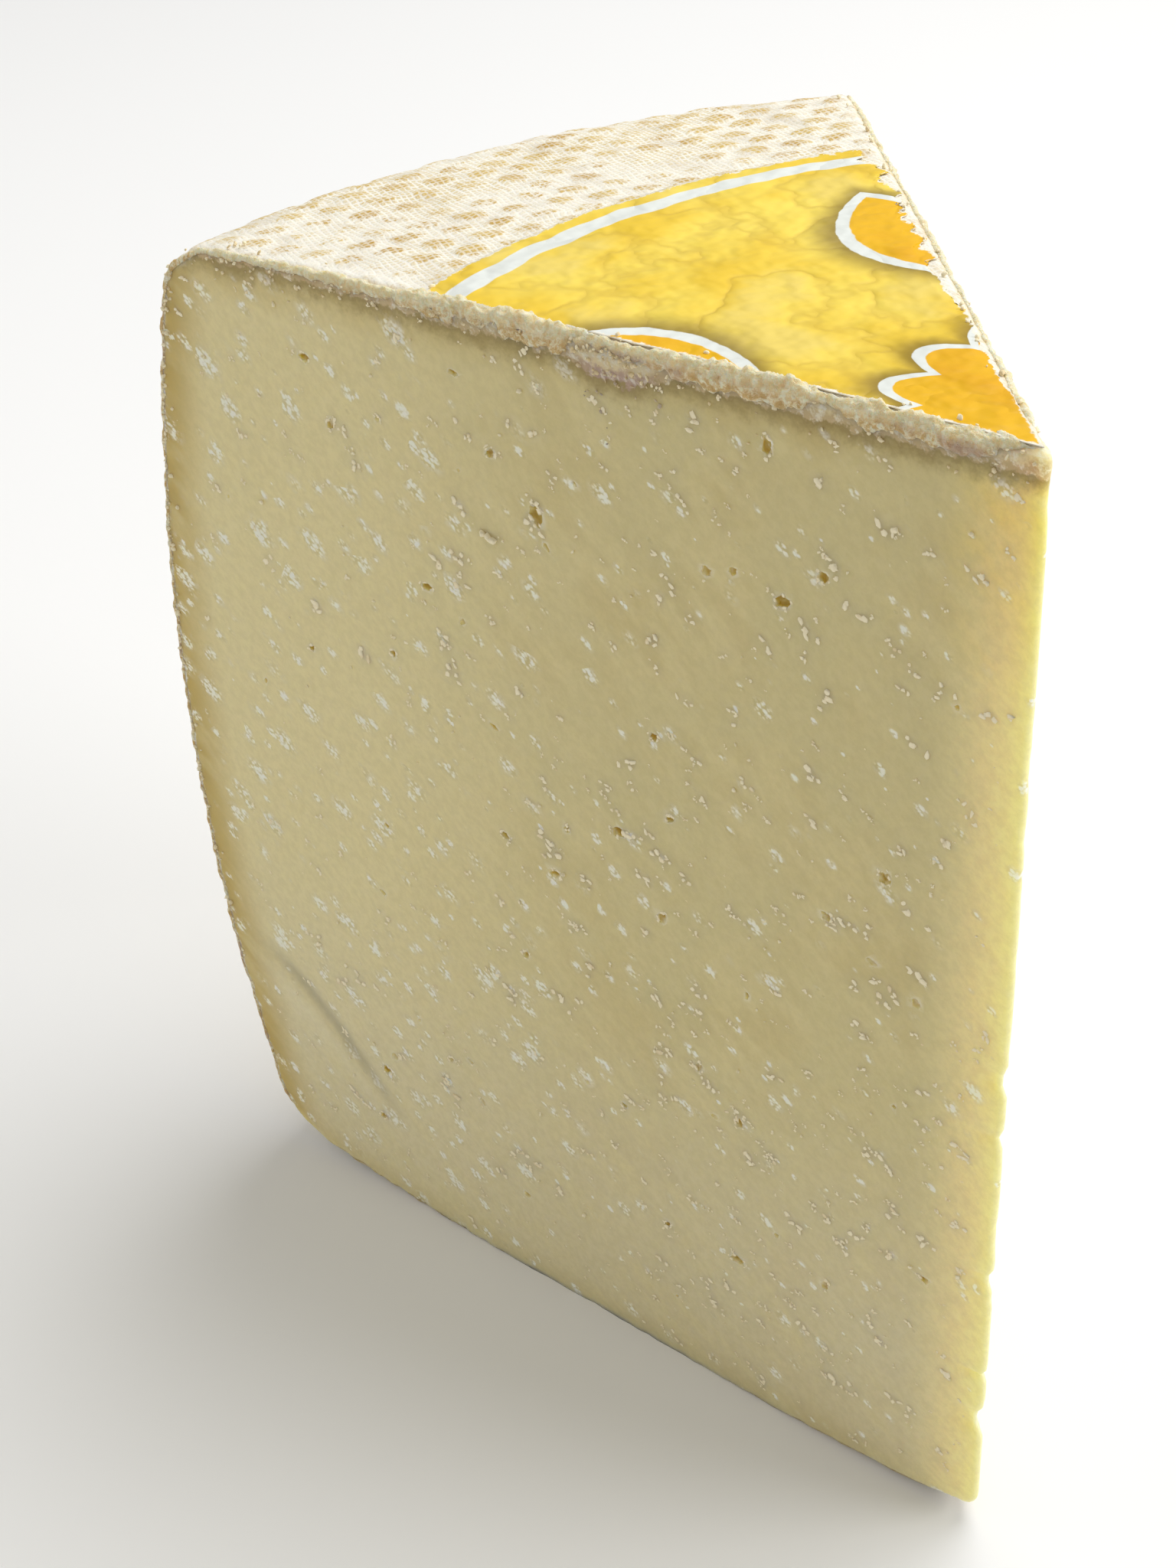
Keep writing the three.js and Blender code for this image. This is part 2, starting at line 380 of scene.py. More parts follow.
def arc_drop(depth, radius):
    """How far an arc of that radius lies behind its corner, at a depth from the corner's other face."""
    return radius - np.sqrt(radius**2 - np.clip(radius - depth, 0, radius) ** 2)


def tip_shift(r, z):
    """How far the tip edge gives way towards the rim: nibbles and chips along it, an arc at its foot and head."""
    nibble = NIBBLE * np.maximum(rough(points_of(z, 0, 0), 8, 15), 0)
    ends = arc_drop(z, FOOT_ARC) + arc_drop(WHEEL_HEIGHT - z, HEAD_ARC)
    return ends * ease(r, TIP_GIVES, 0) + (nibble + chipped(z)) * ease(r, CHIP_GIVES, 0)


print("tip gives way by", tip_shift(*np.array([[0.0, 0.0], [28.0, 121.0]])).round(2), "mm at two chips")

# %% [markdown]
# ## Relief of the rind
# The wheel is pressed in cloth inside a pierced mould, so its skin carries rows of low oval pads, each row shifted
# by half a pad. Flour and mould whiten the hollows between them. Under the label the skin is pressed smooth.

# %% Rind relief
PAD_PITCH = 9.2
PAD_ROW = 6.0
PAD_HALF_LENGTH = 3.6
PAD_HALF_WIDTH = 2.5
PAD_SLANT = np.radians(11)
PAD_HEIGHT = 0.42
PAD_DRIFT = 1.2
PAD_RAGGED = 0.22
PAD_EDGE = (1.25, 0.6)
PAD_STRENGTH, PAD_LUCK, PAD_LEAST = 0.75, 0.9, 0.15
LUMP_HEIGHT = 0.3
GRIT_HEIGHT = 0.12
EDGE_HEIGHT = 0.25
LABEL_RADIUS = 134.0
LABEL_CENTRE = np.array([3.5, 19.8])
LABEL_SETBACK = 1.3
LABEL_PRESS = 0.1


def pads(x, y, z):
    """Oval pads in staggered rows that slant across the wedge: u along a row, v from row to row, which runs on
    down the side. A random number of each pad sets its strength."""
    point = points_of(x, y, z)
    drift = PAD_DRIFT * bumps(point, 24, 21)
    u = y * np.cos(PAD_SLANT) - x * np.sin(PAD_SLANT)
    v = x * np.cos(PAD_SLANT) + y * np.sin(PAD_SLANT) + WHEEL_HEIGHT - z
    row = (v + drift) / PAD_ROW
    column = (u + drift) / PAD_PITCH + 0.5 * (np.floor(row) % 2)
    across = (row - np.floor(row) - 0.5) * PAD_ROW / PAD_HALF_WIDTH
    length = (column - np.floor(column) - 0.5) * PAD_PITCH / PAD_HALF_LENGTH
    luck = bumps(points_of(np.floor(row), np.floor(column), 0) + 0.5, 1.0, 25)
    ragged = np.hypot(across, length) + PAD_RAGGED * rough(point, 2.6, 26)
    return ease(ragged, *PAD_EDGE) * np.clip(PAD_STRENGTH + PAD_LUCK * luck, PAD_LEAST, 1)


def under_label(x, y):
    """1 where the label covers the top, 0 beyond its round edge."""
    return ease(np.hypot(x - LABEL_CENTRE[0], y - LABEL_CENTRE[1]), LABEL_RADIUS + 1, LABEL_RADIUS - 3)


def rind_relief(r, phi, z):
    """Height of the skin over its smooth form: pads, lumps and fine grit, pressed down under the label."""
    x, y = r * np.cos(phi), r * np.sin(phi)
    point = points_of(x, y, z)
    pressed = under_label(x, y) * ease(top_height(r) - z, 8, 4)
    free = PAD_HEIGHT * pads(x, y, z) + LUMP_HEIGHT * rough(point, 16, 22) + GRIT_HEIGHT * rough(point, 3, 23)
    edge = ease(x * SIN_A - np.abs(y) * COS_A, 5, 0) * EDGE_HEIGHT * rough(point, 3.5, 24)
    return ((free + edge) * (1 - pressed) - LABEL_PRESS * pressed) * ease(r, 1.0, 8.0)


print("pad cover:", pads(*np.random.default_rng(1).uniform(0, 60, (3, 4000))).mean().round(2))

# %% [markdown]
# ## From smooth form to shaped surface
# Every point of the skin is given by radius, angle and height. Near an edge both faces give way to an arc, so the
# point is pulled towards the arc's centre, and then it is pushed out along its face by the relief.

# %% Shaping
def shaped(r, phi, z, on_cut, on_rind):
    """Wheel point after rounding and relief. With depths a and b inside an edge's two faces and rounding R, the
    point moves by (R - a, R - b) (1 - R / hypot(R - a, R - b)) inwards; relief then moves it outwards."""
    side = np.where(phi < 0, -1.0, 1.0)
    x, y = plan(r, phi)
    inside_cut = np.where(on_cut, 0, np.maximum(x * SIN_A - np.abs(y) * COS_A, 0))
    inside_skin = np.where(on_rind, 0, np.maximum(rind_depth(r, z), 0))
    radius = EDGE_ROUNDING + (LIP_ROUNDING - EDGE_ROUNDING) * ease(top_height(r) - z, *LIP_REACH)
    radius = np.minimum(radius, 0.9 * r * SIN_A)
    a, b = np.maximum(radius - inside_cut, 0), np.maximum(radius - inside_skin, 0)
    pull = np.maximum(1 - radius / np.maximum(np.hypot(a, b), 1e-9), 0)
    out_r, out_z = rind_outward(r, z)
    skin = points_of(out_r * np.cos(phi), out_r * np.sin(phi), out_z)
    cut = points_of(-SIN_A, side * COS_A, 0)
    move_cut = -a * pull + np.where(on_cut, cut_relief(r, z, side), 0)
    move_skin = -b * pull + np.where(on_rind, rind_relief(r, phi, z), 0)
    start = points_of(x + tip_shift(r, z), y, z)
    return start + cut * move_cut[..., None] + skin * move_skin[..., None]


def on_cut_face(r, z, side):
    """Shaped points of the cut faces at those radii and heights."""
    r, z, side = np.broadcast_arrays(*(np.asarray(v, float) for v in (r, z, side)))
    return shaped(r, side * HALF_ANGLE, z, True, False)


def on_top(r, phi):
    """Shaped points of the top face at those radii and angles."""
    return shaped(r, phi, top_height(r), False, True)


print("front face half way up:", on_cut_face([100.0], [125.0], [-1.0]).round(1))

# %% [markdown]
# ## Grids into one closed mesh
# The rind is a grid of profile rows by angles. Each cut face is a grid stretched between its four edges: top,
# base, side and tip. The grids share their edge points, so welding equal points closes the body.

# %% Grids of the wedge
TURNS = 128
TURN_CROWDING = 0.4


def stretched(top, base, side, tip):
    """Coons grid: top to base plus tip to side, less the corners' own bilinear blend."""
    u = np.linspace(0, 1, len(top))[:, None, None]
    v = np.linspace(0, 1, len(side))[None, :, None]
    rows = (1 - v) * top[:, None] + v * base[:, None]
    columns = (1 - u) * tip[None] + u * side[None]
    corners = (1 - u) * ((1 - v) * top[0] + v * base[0]) + u * ((1 - v) * top[-1] + v * base[-1])
    return rows + columns - corners


def strung(grids):
    """Points of some grids in one row, and the four corners of each of their cells as numbers in that row."""
    points = np.vstack([grid.reshape(-1, 3) for grid in grids])
    numbers = np.split(np.arange(len(points)), np.cumsum([grid[..., 0].size for grid in grids])[:-1])
    cells = []
    for grid, own in zip(grids, numbers):
        n = own.reshape(grid.shape[:2])
        cells.append(np.stack([n[:-1, :-1], n[1:, :-1], n[1:, 1:], n[:-1, 1:]], axis=-1).reshape(-1, 4))
    return points, cells


def welded(points, faces, grain=1e-4):
    """One number for equal points: (kept points' numbers, faces in new numbers, number of every old point)."""
    keys = np.round(points / grain).astype(np.int64)
    _, first, back = np.unique(keys, axis=0, return_index=True, return_inverse=True)
    back = back.reshape(-1)
    return first, back[faces], back


profile = np.vstack([TOP, SIDE[1:], BASE[::-1][1:]])
angles = HALF_ANGLE * (2 * crowded(TURNS, TURN_CROWDING) - 1)
tip_edge = np.c_[np.zeros(SIDE_ROWS + 1), WHEEL_HEIGHT * (1 - crowded(SIDE_ROWS, SIDE_CROWDING))]
cut_r, cut_z = np.moveaxis(stretched(TOP, BASE, SIDE, tip_edge), -1, 0)
patches = [
    points_of(profile[:, None, 0], angles[None], profile[:, None, 1]),
    points_of(cut_r, -HALF_ANGLE, cut_z),
    points_of(cut_r, HALF_ANGLE, cut_z),
]
loose, patch_cells = strung(patches)
face_kind = np.repeat([1, 0, 0], [len(cells) for cells in patch_cells])
flat = points_of(*plan(loose[:, 0], loose[:, 1]), loose[:, 2])
first, faces, number = welded(flat, np.vstack(patch_cells))
is_cut, is_rind = np.zeros((2, len(first)), bool)
rind_count = patches[0][..., 0].size
is_rind[number[:rind_count]] = True
is_cut[number[rind_count:]] = True
wedge_points = shaped(*loose[first].T, is_cut, is_rind)
print("wedge:", len(first), "points,", len(faces), "cells")

# %% [markdown]
# ## A mesh from arrays
# Blender takes whole arrays of points. Cells at a pole have two equal corners and become triangles. Turning all
# faces outwards at the end costs little and makes a closed body safe to cut.

# %% Mesh maker
SHARP_EDGE = np.radians(38)


def make_piece(name, points, faces, kinds=None):
    """Object at the origin from points and four-cornered faces, in which a repeated corner means a triangle."""
    faces = np.asarray(faces)
    own = faces != np.roll(faces, 1, axis=1)
    kept = own.sum(axis=1) > 2
    loops = faces[kept][own[kept]].astype(np.int32)
    ends = np.cumsum(own[kept].sum(axis=1)).astype(np.int32)
    mesh = bpy.data.meshes.new(name)
    mesh.vertices.add(len(points))
    mesh.vertices.foreach_set("co", np.asarray(points, np.float32).reshape(-1))
    mesh.loops.add(len(loops))
    mesh.loops.foreach_set("vertex_index", loops)
    mesh.polygons.add(len(ends))
    mesh.polygons.foreach_set("loop_start", np.r_[0, ends[:-1]].astype(np.int32))
    if kinds is not None:
        mesh.polygons.foreach_set("material_index", np.asarray(kinds)[kept].astype(np.int32))
    mesh.update(calc_edges=True)
    body = bmesh.new()
    body.from_mesh(mesh)
    bmesh.ops.recalc_face_normals(body, faces=body.faces)
    body.to_mesh(mesh)
    body.free()
    mesh.shade_smooth()
    return put_in(name, mesh)


def mark(piece, name, values):
    """One number for each point of a piece, for its material to read."""
    attribute = piece.data.attributes.new(name, "FLOAT", "POINT")
    attribute.data.foreach_set("value", np.asarray(values, np.float32))


cheese = make_piece("cheese_wedge", to_part(wedge_points), faces, face_kind)
print("cheese_wedge before holes:", len(cheese.data.polygons), "faces")

# %% [markdown]
# ## Lumps, for holes and for crumbs
# An eye left by gas and a crumb are the same thing: an uneven ball. One unit ball is a grid of latitude and
# longitude. Copies of it get their own size, turn and bumps as one big array.

# %% Lump maker
LUMP_APART = 17.0
LUMP_PITCH = 1.9


def unit_ball(latitudes, longitudes):
    """Points and faces of a ball from sin and cos of latitude and longitude, with its seam and poles welded."""
    lat = np.linspace(-np.pi / 2, np.pi / 2, latitudes + 1)[:, None]
    lon = np.linspace(0, 2 * np.pi, longitudes + 1)[None]
    points, (cells,) = strung([points_of(np.cos(lat) * np.cos(lon), np.cos(lat) * np.sin(lon), np.sin(lat))])
    first, faces, _ = welded(points, cells)
    return points[first], faces


def lumps(centres, sizes, turns, axes, ball, unevenness, seed):
    """Many balls at once: unit points times (1 + bumps) times half sizes, turned in the first and third axes."""
    unit, faces = ball
    own = np.arange(len(centres))[:, None, None] * LUMP_APART
    swell = 1 + unevenness * bumps(unit[None] * LUMP_PITCH + own, 1.0, seed)
    along_face, inward, up_face = np.moveaxis(unit[None] * swell[..., None] * sizes[:, None], -1, 0)
    c, s = np.cos(turns)[:, None], np.sin(turns)[:, None]
    turned = points_of(c * along_face - s * up_face, inward, s * along_face + c * up_face)
    points = centres[:, None] + np.einsum("nvi,nij->nvj", turned, axes)
    steps = (np.arange(len(centres)) * len(unit))[:, None, None]
    return points.reshape(-1, 3), (faces[None] + steps).reshape(-1, 4)


def face_axes(side):
    """Axes along, into and up a cut face, for an array of sides: -1 front, 1 back."""
    side = np.asarray(side, float)
    rows = points_of(COS_A, side * SIN_A, 0), points_of(-SIN_A, side * COS_A, 0), points_of(0 * side, 0, 1)
    return np.stack(rows, axis=1)


SMALL_BALL = unit_ball(4, 6)
print("small ball:", len(SMALL_BALL[0]), "points")

# %% [markdown]
# ## Eyes
# The eyes of the solid are repeated here with uneven walls: the large ones where the front shows them, the small
# ones from the same seeded draws. Finer pits will be scattered between them. One Boolean cut takes them all out of
# the wedge, which gives crisp mouths and true hollows that no bump could.

# %% Places of the eyes
FRONT_EYES = [
    (104, 211, 3.2, 5.6), (50, 209, 4.2, 3.4), (53, 238, 2.6, 4.4), (88, 145, 4.4, 2.8),
    (28, 158, 3.0, 3.8), (78, 128, 2.8, 3.2), (159, 230, 3.4, 2.6), (154, 217, 2.4, 3.0),
    (105, 128, 3.6, 2.4), (61, 42, 4.6, 3.0), (39, 47, 2.2, 3.6), (133, 187, 3.4, 2.2),
]
SMALL_EYES = 16
SMALL_EYE_SIZE = (1.6, 3.4)
EYE_MARGIN = 18.0
EYE_DEPTH = 0.34
EYE_MOUTH = 0.8
EYE_SEED = 20
HOLE_UNEVENNESS = 0.4


def drawn(seed):
    """The solid's stream of numbers: state times 1664525 plus 1013904223, modulo 2^32."""
    state = seed
    while True:
        state = (state * 1664525 + 1013904223) % 2**32
        yield state / 2**32


def eye_rows():
    """Rows of (side, r, z, width, tallness, turn) for the large front eyes, then the small ones of both faces."""
    stream = drawn(EYE_SEED)

    def between(low, high):
        return low + (high - low) * next(stream)

    rows = [(-1, *eye, between(-0.5, 0.5)) for eye in FRONT_EYES]
    for side in (-1, 1):
        for _ in range(SMALL_EYES):
            r = between(EYE_MARGIN, RIM_RADIUS - EYE_MARGIN)
            z = between(BASE_DOME + EYE_MARGIN, WHEEL_HEIGHT - EYE_MARGIN)
            width, tallness = between(*SMALL_EYE_SIZE), between(*SMALL_EYE_SIZE)
            rows.append((side, r, z, width, tallness, between(-1, 1)))
    return np.array(rows)


eyes = eye_rows()
side, r, z, width, tall, turn_by = eyes.T
sizes = np.c_[EYE_MOUTH * width / 2, EYE_DEPTH * width, EYE_MOUTH * tall / 2]
eye_balls = on_cut_face(r, z, side), sizes, turn_by, face_axes(side), unit_ball(12, 16)
holes = [lumps(*eye_balls, HOLE_UNEVENNESS, 31)]
print("eyes:", len(eyes))

# %% [markdown]
# ## Pits
# Pits are drawn at random, and a draw too close to an eye or to another pit is thrown away.

# %% Places of the pits
PITS = 60
PIT_SIZE = (0.4, 0.9)
PIT_LOW = (14, 20)
PIT_HIGH = (RIM_RADIUS - 6, WHEEL_HEIGHT - 12)
PIT_GAP = 5.0


def spread(count, taken, rng):
    """Random places on a cut face that keep a gap from each other and from places already taken."""
    kept = [np.asarray(place, float) for place in taken]
    while len(kept) - len(taken) < count:
        place = rng.uniform(PIT_LOW, PIT_HIGH)
        if all(np.abs(place - other).max() > PIT_GAP for other in kept):
            kept.append(place)
    return np.array(kept[len(taken):])


def pit_lumps(face, rng):
    """Small lumps, longer along the wire's slant, at spread places of one cut face."""
    spots = spread(PITS // 2, eyes[eyes[:, 0] == face][:, 1:3], rng)
    n = len(spots)
    half = rng.uniform(*PIT_SIZE, (n, 1)) * rng.uniform(0.7, 1.3, (n, 3))
    half[:, 0] *= rng.uniform(1.0, 1.9, n)
    sides = np.full(n, face)
    turns = rng.normal(0.7, 0.35, n)
    places = on_cut_face(*spots.T, sides)
    return lumps(places, half, turns, face_axes(sides), unit_ball(6, 9), HOLE_UNEVENNESS, 33)


rng = np.random.default_rng(7)
holes += [pit_lumps(face, rng) for face in (-1, 1)]
print("pits:", PITS)

# %% [markdown]
# ## Cutting the holes
# After the cut each point gets three numbers that its material reads: how much it lies on a pad of the rind,
# whether it is a new point on the wall of a hole, and the shade of the crease. Points that were there before the
# cut are known by their hashed places.

# %% Cut the holes
SAME_PLACE = 0.01 * MM


def places_of(mesh):
    """All points of a mesh as one array."""
    places = np.empty((len(mesh.vertices), 3), np.float32)
    mesh.vertices.foreach_get("co", places.reshape(-1))
    return places


def place_keys(places):
    """One hashed whole number for each place."""
    return np.round(places.astype(float) / SAME_PLACE).astype(np.int64) @ HASH


hole_starts = np.cumsum([0] + [len(points) for points, _ in holes])
hole_faces = np.vstack([cells + start for (_, cells), start in zip(holes, hole_starts)])
cutter = make_piece("hole_cutter", to_part(np.vstack([points for points, _ in holes])), hole_faces)
before = places_of(cheese.data)
cut = cheese.modifiers.new("holes", "BOOLEAN")
cut.operation, cut.solver, cut.object = "DIFFERENCE", "MANIFOLD", cutter
graph = bpy.context.evaluated_depsgraph_get()
holed = bpy.data.meshes.new_from_object(cheese.evaluated_get(graph))
cheese.modifiers.clear()
cheese.data = holed
bpy.data.objects.remove(cutter)
holed.shade_smooth()
holed.set_sharp_from_angle(angle=SHARP_EDGE)
after = places_of(holed)
x, y, z = to_wheel(after).T
mark(cheese, "pad", pads(x, y, z))
mark(cheese, "hole", ~np.isin(place_keys(after), place_keys(before)))
mark(cheese, "crease", np.where(y < 0, crease(np.hypot(x, y), z)[2], 0))
kinds = np.empty(len(holed.polygons), np.int32)
holed.polygons.foreach_get("material_index", kinds)
holed.calc_loop_triangles()
print("cheese_wedge:", len(holed.loop_triangles), "triangles,", kinds.sum(), "faces of rind")

# %% [markdown]
# ## The paper label
# The label was a disc pasted on the wheel and cut through with it. A fan of rows from the tip to the round edge
# follows the top face. Its cut sides are ragged where the knife dragged the paper, and its sheet is slightly
# cockled. Solidify then gives the sheet its thickness.

# %% Label sheet
LABEL_LIFT = 0.22
LABEL_THICKNESS = 0.2
LABEL_ROWS = 210
LABEL_COLUMNS = 150
FRONT_RAGGED = 0.6
BACK_RAGGED = 5.0
RAGGED_SHARE = 0.12
COCKLE = 0.12
FOLD = 0.2


def label_sheet():
    """Points tip + t rho(angle) (cos, sin), rho reaching the label's circle, and each point's way to the edge."""
    t = np.linspace(0, 1, LABEL_ROWS + 1)[:, None]
    w = np.linspace(-1, 1, LABEL_COLUMNS + 1)[None]
    tip = np.array([LABEL_SETBACK / SIN_A, 0.0])
    way = np.stack([np.cos(w * HALF_ANGLE), np.sin(w * HALF_ANGLE)], axis=-1)
    arm = tip - LABEL_CENTRE
    dot = way @ arm
    reach = np.sqrt(dot**2 - arm @ arm + LABEL_RADIUS**2) - dot
    rim = points_of(100, w * 30, 0)
    round_edge = 0.5 * bumps(rim, 4, 41) + 0.25 * bumps(rim, 1.3, 42)
    x, y = np.moveaxis(tip + (t * (reach + t * round_edge))[..., None] * way, -1, 0)
    torn = 0.5 + 0.5 * rough(points_of(x, np.sign(w) * 60, 0), 7, 43)
    torn = torn + 0.2 * rough(points_of(x, y, 0), 1.6, 47)
    most = np.minimum(np.where(w < 0, FRONT_RAGGED, BACK_RAGGED), RAGGED_SHARE * HALF_ANGLE * t * reach)
    inward = most * np.maximum(torn, 0) * np.abs(w) ** 6
    x, y = x + inward * SIN_A, y - inward * (np.sign(w) * COS_A)
    point = points_of(x, y, 0)
    folds = np.maximum(0, FOLD - np.abs(bumps(point, 17, 46)))
    cockle = 0.14 + COCKLE * bumps(point, 26, 44) + COCKLE * folds / FOLD
    held_down = ease((1 - np.abs(w)) * t * reach, 0, 8)
    height = top_height(np.hypot(x, y)) + LABEL_LIFT + cockle * held_down
    to_cut = t * reach * (1 - np.abs(w)) * HALF_ANGLE
    return points_of(x, y, height), np.minimum(to_cut, (1 - t) * reach)


sheet, edge_way = label_sheet()
sheet_points, (sheet_cells,) = strung([sheet])
first, label_faces, _ = welded(sheet_points, sheet_cells)
label = make_piece("paper_label", to_part(sheet_points[first]), label_faces)
if label.data.polygons[0].normal.z < 0:
    label.data.flip_normals()
mark(label, "to_edge", edge_way.reshape(-1)[first])
paper = label.modifiers.new("paper", "SOLIDIFY")
paper.thickness = LABEL_THICKNESS * MM
paper.offset = -1
print("paper_label:", len(label.data.polygons), "cells")

# %% [markdown]
# ## The torn edge of the rind
# Where the wire left the wheel, the dry skin frayed into a soft ragged ridge: thick along the top, thin down the
# rim. It is a closed tube that follows the edge of each cut, half sunk in the cheese, and noise at three sizes
# pushes its wall in and out. Pebbles of crumb alone would look like gravel here.

# %% Frayed ridge
RIDGE_STEP = 0.4
RIDGE_AROUND = 30
RIDGE_CROWDING = 0.55
RIDGE_TAPER = 24
RIDGE_TOP = {-1: (1.8, 2.6), 1: (0.9, 1.0)}
RIDGE_RIM = (0.6, 0.65)
RIDGE_SUNK = 0.34
RIND_TEARS = [(-1, 84, 16), (-1, 136, 9), (-1, 40, 8), (1, 62, 12), (1, 118, 14)]
TEAR_DEPTH = 0.45


def ridge(side):
    """Tube about the edge of one cut: edge + (c cos - s) P + (d sin - s) Q, with P out of the cut, Q out of the
    skin, half widths c and d that taper from top to rim, and s the depth to which it is sunk."""
    edge = np.vstack([TOP, SIDE[1:]])[3:]
    count = int(np.hypot(*np.diff(edge, axis=0).T).sum() / RIDGE_STEP)
    r, z = along(edge, np.linspace(0, 1, count)).T
    t = np.linspace(0, 1, RIDGE_AROUND + 1)[None]
    angle = np.pi * (0.25 + 2 * (t + RIDGE_CROWDING * np.sin(2 * np.pi * t) / (2 * np.pi)) - 1)
    on_top_face = ease(z, WHEEL_HEIGHT - 24, WHEEL_HEIGHT - 5)
    row = np.arange(count)
    ends = np.sin(np.pi * np.clip(np.minimum(row, count - 1 - row) / RIDGE_TAPER, 0, 1) / 2)
    for tear_side, tear_r, width in RIND_TEARS:
        if tear_side == side:
            ends = ends * (1 - TEAR_DEPTH * np.exp(-(((r - tear_r) / (0.5 * width)) ** 2)) * on_top_face)
    uneven = 1 + 0.3 * rough(points_of(r, 70.0 * side, z), 8, 60)
    full = on_top_face * (0.15 + 0.85 * ease(r, RIM_RADIUS - 12, 105)) * uneven
    half = [((rim + (top - rim) * full) * ends)[:, None] for top, rim in zip(RIDGE_TOP[side], RIDGE_RIM)]
    base = shaped(r, side * HALF_ANGLE + 0 * r, z, True, True)[:, None]
    out_r, out_z = rind_outward(r, z)
    skin = points_of(out_r * COS_A, out_r * side * SIN_A, out_z)[:, None]
    cut = np.array([-SIN_A, side * COS_A, 0.0])
    p, q = half[0] * np.cos(angle), half[1] * np.sin(angle)
    place = base + p[..., None] * cut + q[..., None] * skin
    swell = 0.2 * bumps(place, 4.0, 61) + 0.26 * rough(place, 1.8, 64, 4) - 0.2 * np.abs(bumps(place, 1.1, 69))
    widen = 1 + swell * (0.35 + 0.65 * on_top_face[:, None])
    p, q = p * widen - RIDGE_SUNK * half[0], q * widen - RIDGE_SUNK * half[1]
    return base + p[..., None] * cut + q[..., None] * skin


tube_points, tube_cells = strung([ridge(side) for side in (-1, 1)])
first, tube_faces, _ = welded(tube_points, np.vstack(tube_cells))
frayed = make_piece("frayed_rind", to_part(tube_points[first]), tube_faces)
print("frayed_rind:", len(frayed.data.polygons), "cells")

# %% [markdown]
# ## Torn curd
# The wire does not slice cleanly: it lifts small whitish flakes of curd all over the face, most of them slanting
# the way it went, and it frays the mouths of the eyes. Each fleck is a few flat lumps pressed into the surface.

# %% Torn curd
WIRE_SLANT = np.radians(38)
FRONT_FLECKS = 800
BACK_FLECKS = 350
BITS = 4
EYE_BITS = 7
BITS_SUNK = 0.55
FLECK_GAMMA = (1.7, 0.66)
LARGEST_FLECK = 2.8
STREWN_AHEAD, STREWN_BESIDE = 0.55, 0.32
LUMP_UNEVENNESS = 0.5


def curd_bits(side, count, rng):
    """Flecks at random on a cut face, kept more often where noise is high; each is a few lumps strewn along the
    slant, and a gamma draw sets the size of the whole fleck. Rows are (side, r, z, turn, three half sizes)."""
    r = rng.uniform(5, RIM_RADIUS + 8, 4 * count)
    z = rng.uniform(4, WHEEL_HEIGHT - 5, 4 * count)
    crowd = 0.5 + 0.5 * bumps(points_of(r, z, 50 * side), 32, 71)
    likely = (0.25 + 0.6 * crowd) * (0.3 + 0.7 * ease(r, 160, 70))
    keep = (rind_depth(r, z) > 4) & (rng.random(4 * count) < likely)
    r, z = np.repeat(r[keep][:count], BITS), np.repeat(z[keep][:count], BITS)
    n = len(r)
    big = np.repeat(np.minimum(rng.gamma(*FLECK_GAMMA, n // BITS), LARGEST_FLECK), BITS)
    ahead, beside = rng.normal(0, STREWN_AHEAD, n) * big, rng.normal(0, STREWN_BESIDE, n) * big
    r = r + ahead * np.cos(WIRE_SLANT) - beside * np.sin(WIRE_SLANT)
    z = z + ahead * np.sin(WIRE_SLANT) + beside * np.cos(WIRE_SLANT)
    length = 0.12 + big * rng.uniform(0.18, 0.5, n)
    thickness = rng.uniform(0.1, 0.16, n)
    width = 0.1 + big * rng.uniform(0.14, 0.3, n)
    return np.c_[np.full(n, side), r, z, rng.normal(WIRE_SLANT, 0.6, n), length, thickness, width]


def eye_bits(rows, rng):
    """Bits round the mouth of each eye: its centre plus half its width and tallness times (cos, sin)."""
    rows = np.repeat(rows, EYE_BITS, axis=0)
    n = len(rows)
    around = rng.uniform(0, 2 * np.pi, n)
    wide = rng.uniform(0.7, 1.15, n)
    r = rows[:, 1] + 0.5 * rows[:, 3] * wide * np.cos(around)
    z = rows[:, 2] + 0.5 * rows[:, 4] * wide * np.sin(around)
    half = np.c_[rng.uniform(0.3, 0.8, n), rng.uniform(0.1, 0.18, n), rng.uniform(0.2, 0.45, n)]
    return np.c_[rows[:, 0], r, z, around + np.pi / 2, half]


def make_lumps(name, places, sizes, turns, axes, seed, tones):
    """A piece of small lumps, each with one tone."""
    points, faces = lumps(places, sizes, turns, axes, SMALL_BALL, LUMP_UNEVENNESS, seed)
    piece = make_piece(name, to_part(points), faces)
    mark(piece, "tone", np.repeat(tones, len(SMALL_BALL[0])))
    print(name + ":", len(places), "lumps,", len(faces), "cells")
    return piece


bits = np.vstack([curd_bits(-1, FRONT_FLECKS, rng), curd_bits(1, BACK_FLECKS, rng), eye_bits(eyes, rng)])
bit_side, bit_r, bit_z, bit_turns = bits[:, :4].T
bit_axes = face_axes(bit_side)
bit_places = on_cut_face(bit_r, bit_z, bit_side) - BITS_SUNK * bits[:, 5:6] * bit_axes[:, 1]
bit_tones = np.clip(rng.normal(0.1, 0.1, len(bits)), 0, 0.4)
curd = make_lumps("torn_curd", bit_places, bits[:, 4:], bit_turns, bit_axes, 73, bit_tones)

# %% [markdown]
# ## Flakes of rind
# Cutting tears the dry rind into fuzz along the edges and leaves crumbs on the paste. Real lumps of mesh cast the
# tiny shadows that make an edge look dry. Each has a tone from 0, pale curd, to 1, grey rind, for its colour.

# %% Flakes along the edges
LIP_FLAKES = 480
RIM_FLAKES = 300
TUFT_PLACE = 84.0
TUFT_FLAKES = 90


def front_or_back(n, front_share, rng):
    """-1 for the front with that share, else 1 for the back."""
    return np.where(rng.random(n) < front_share, -1, 1)


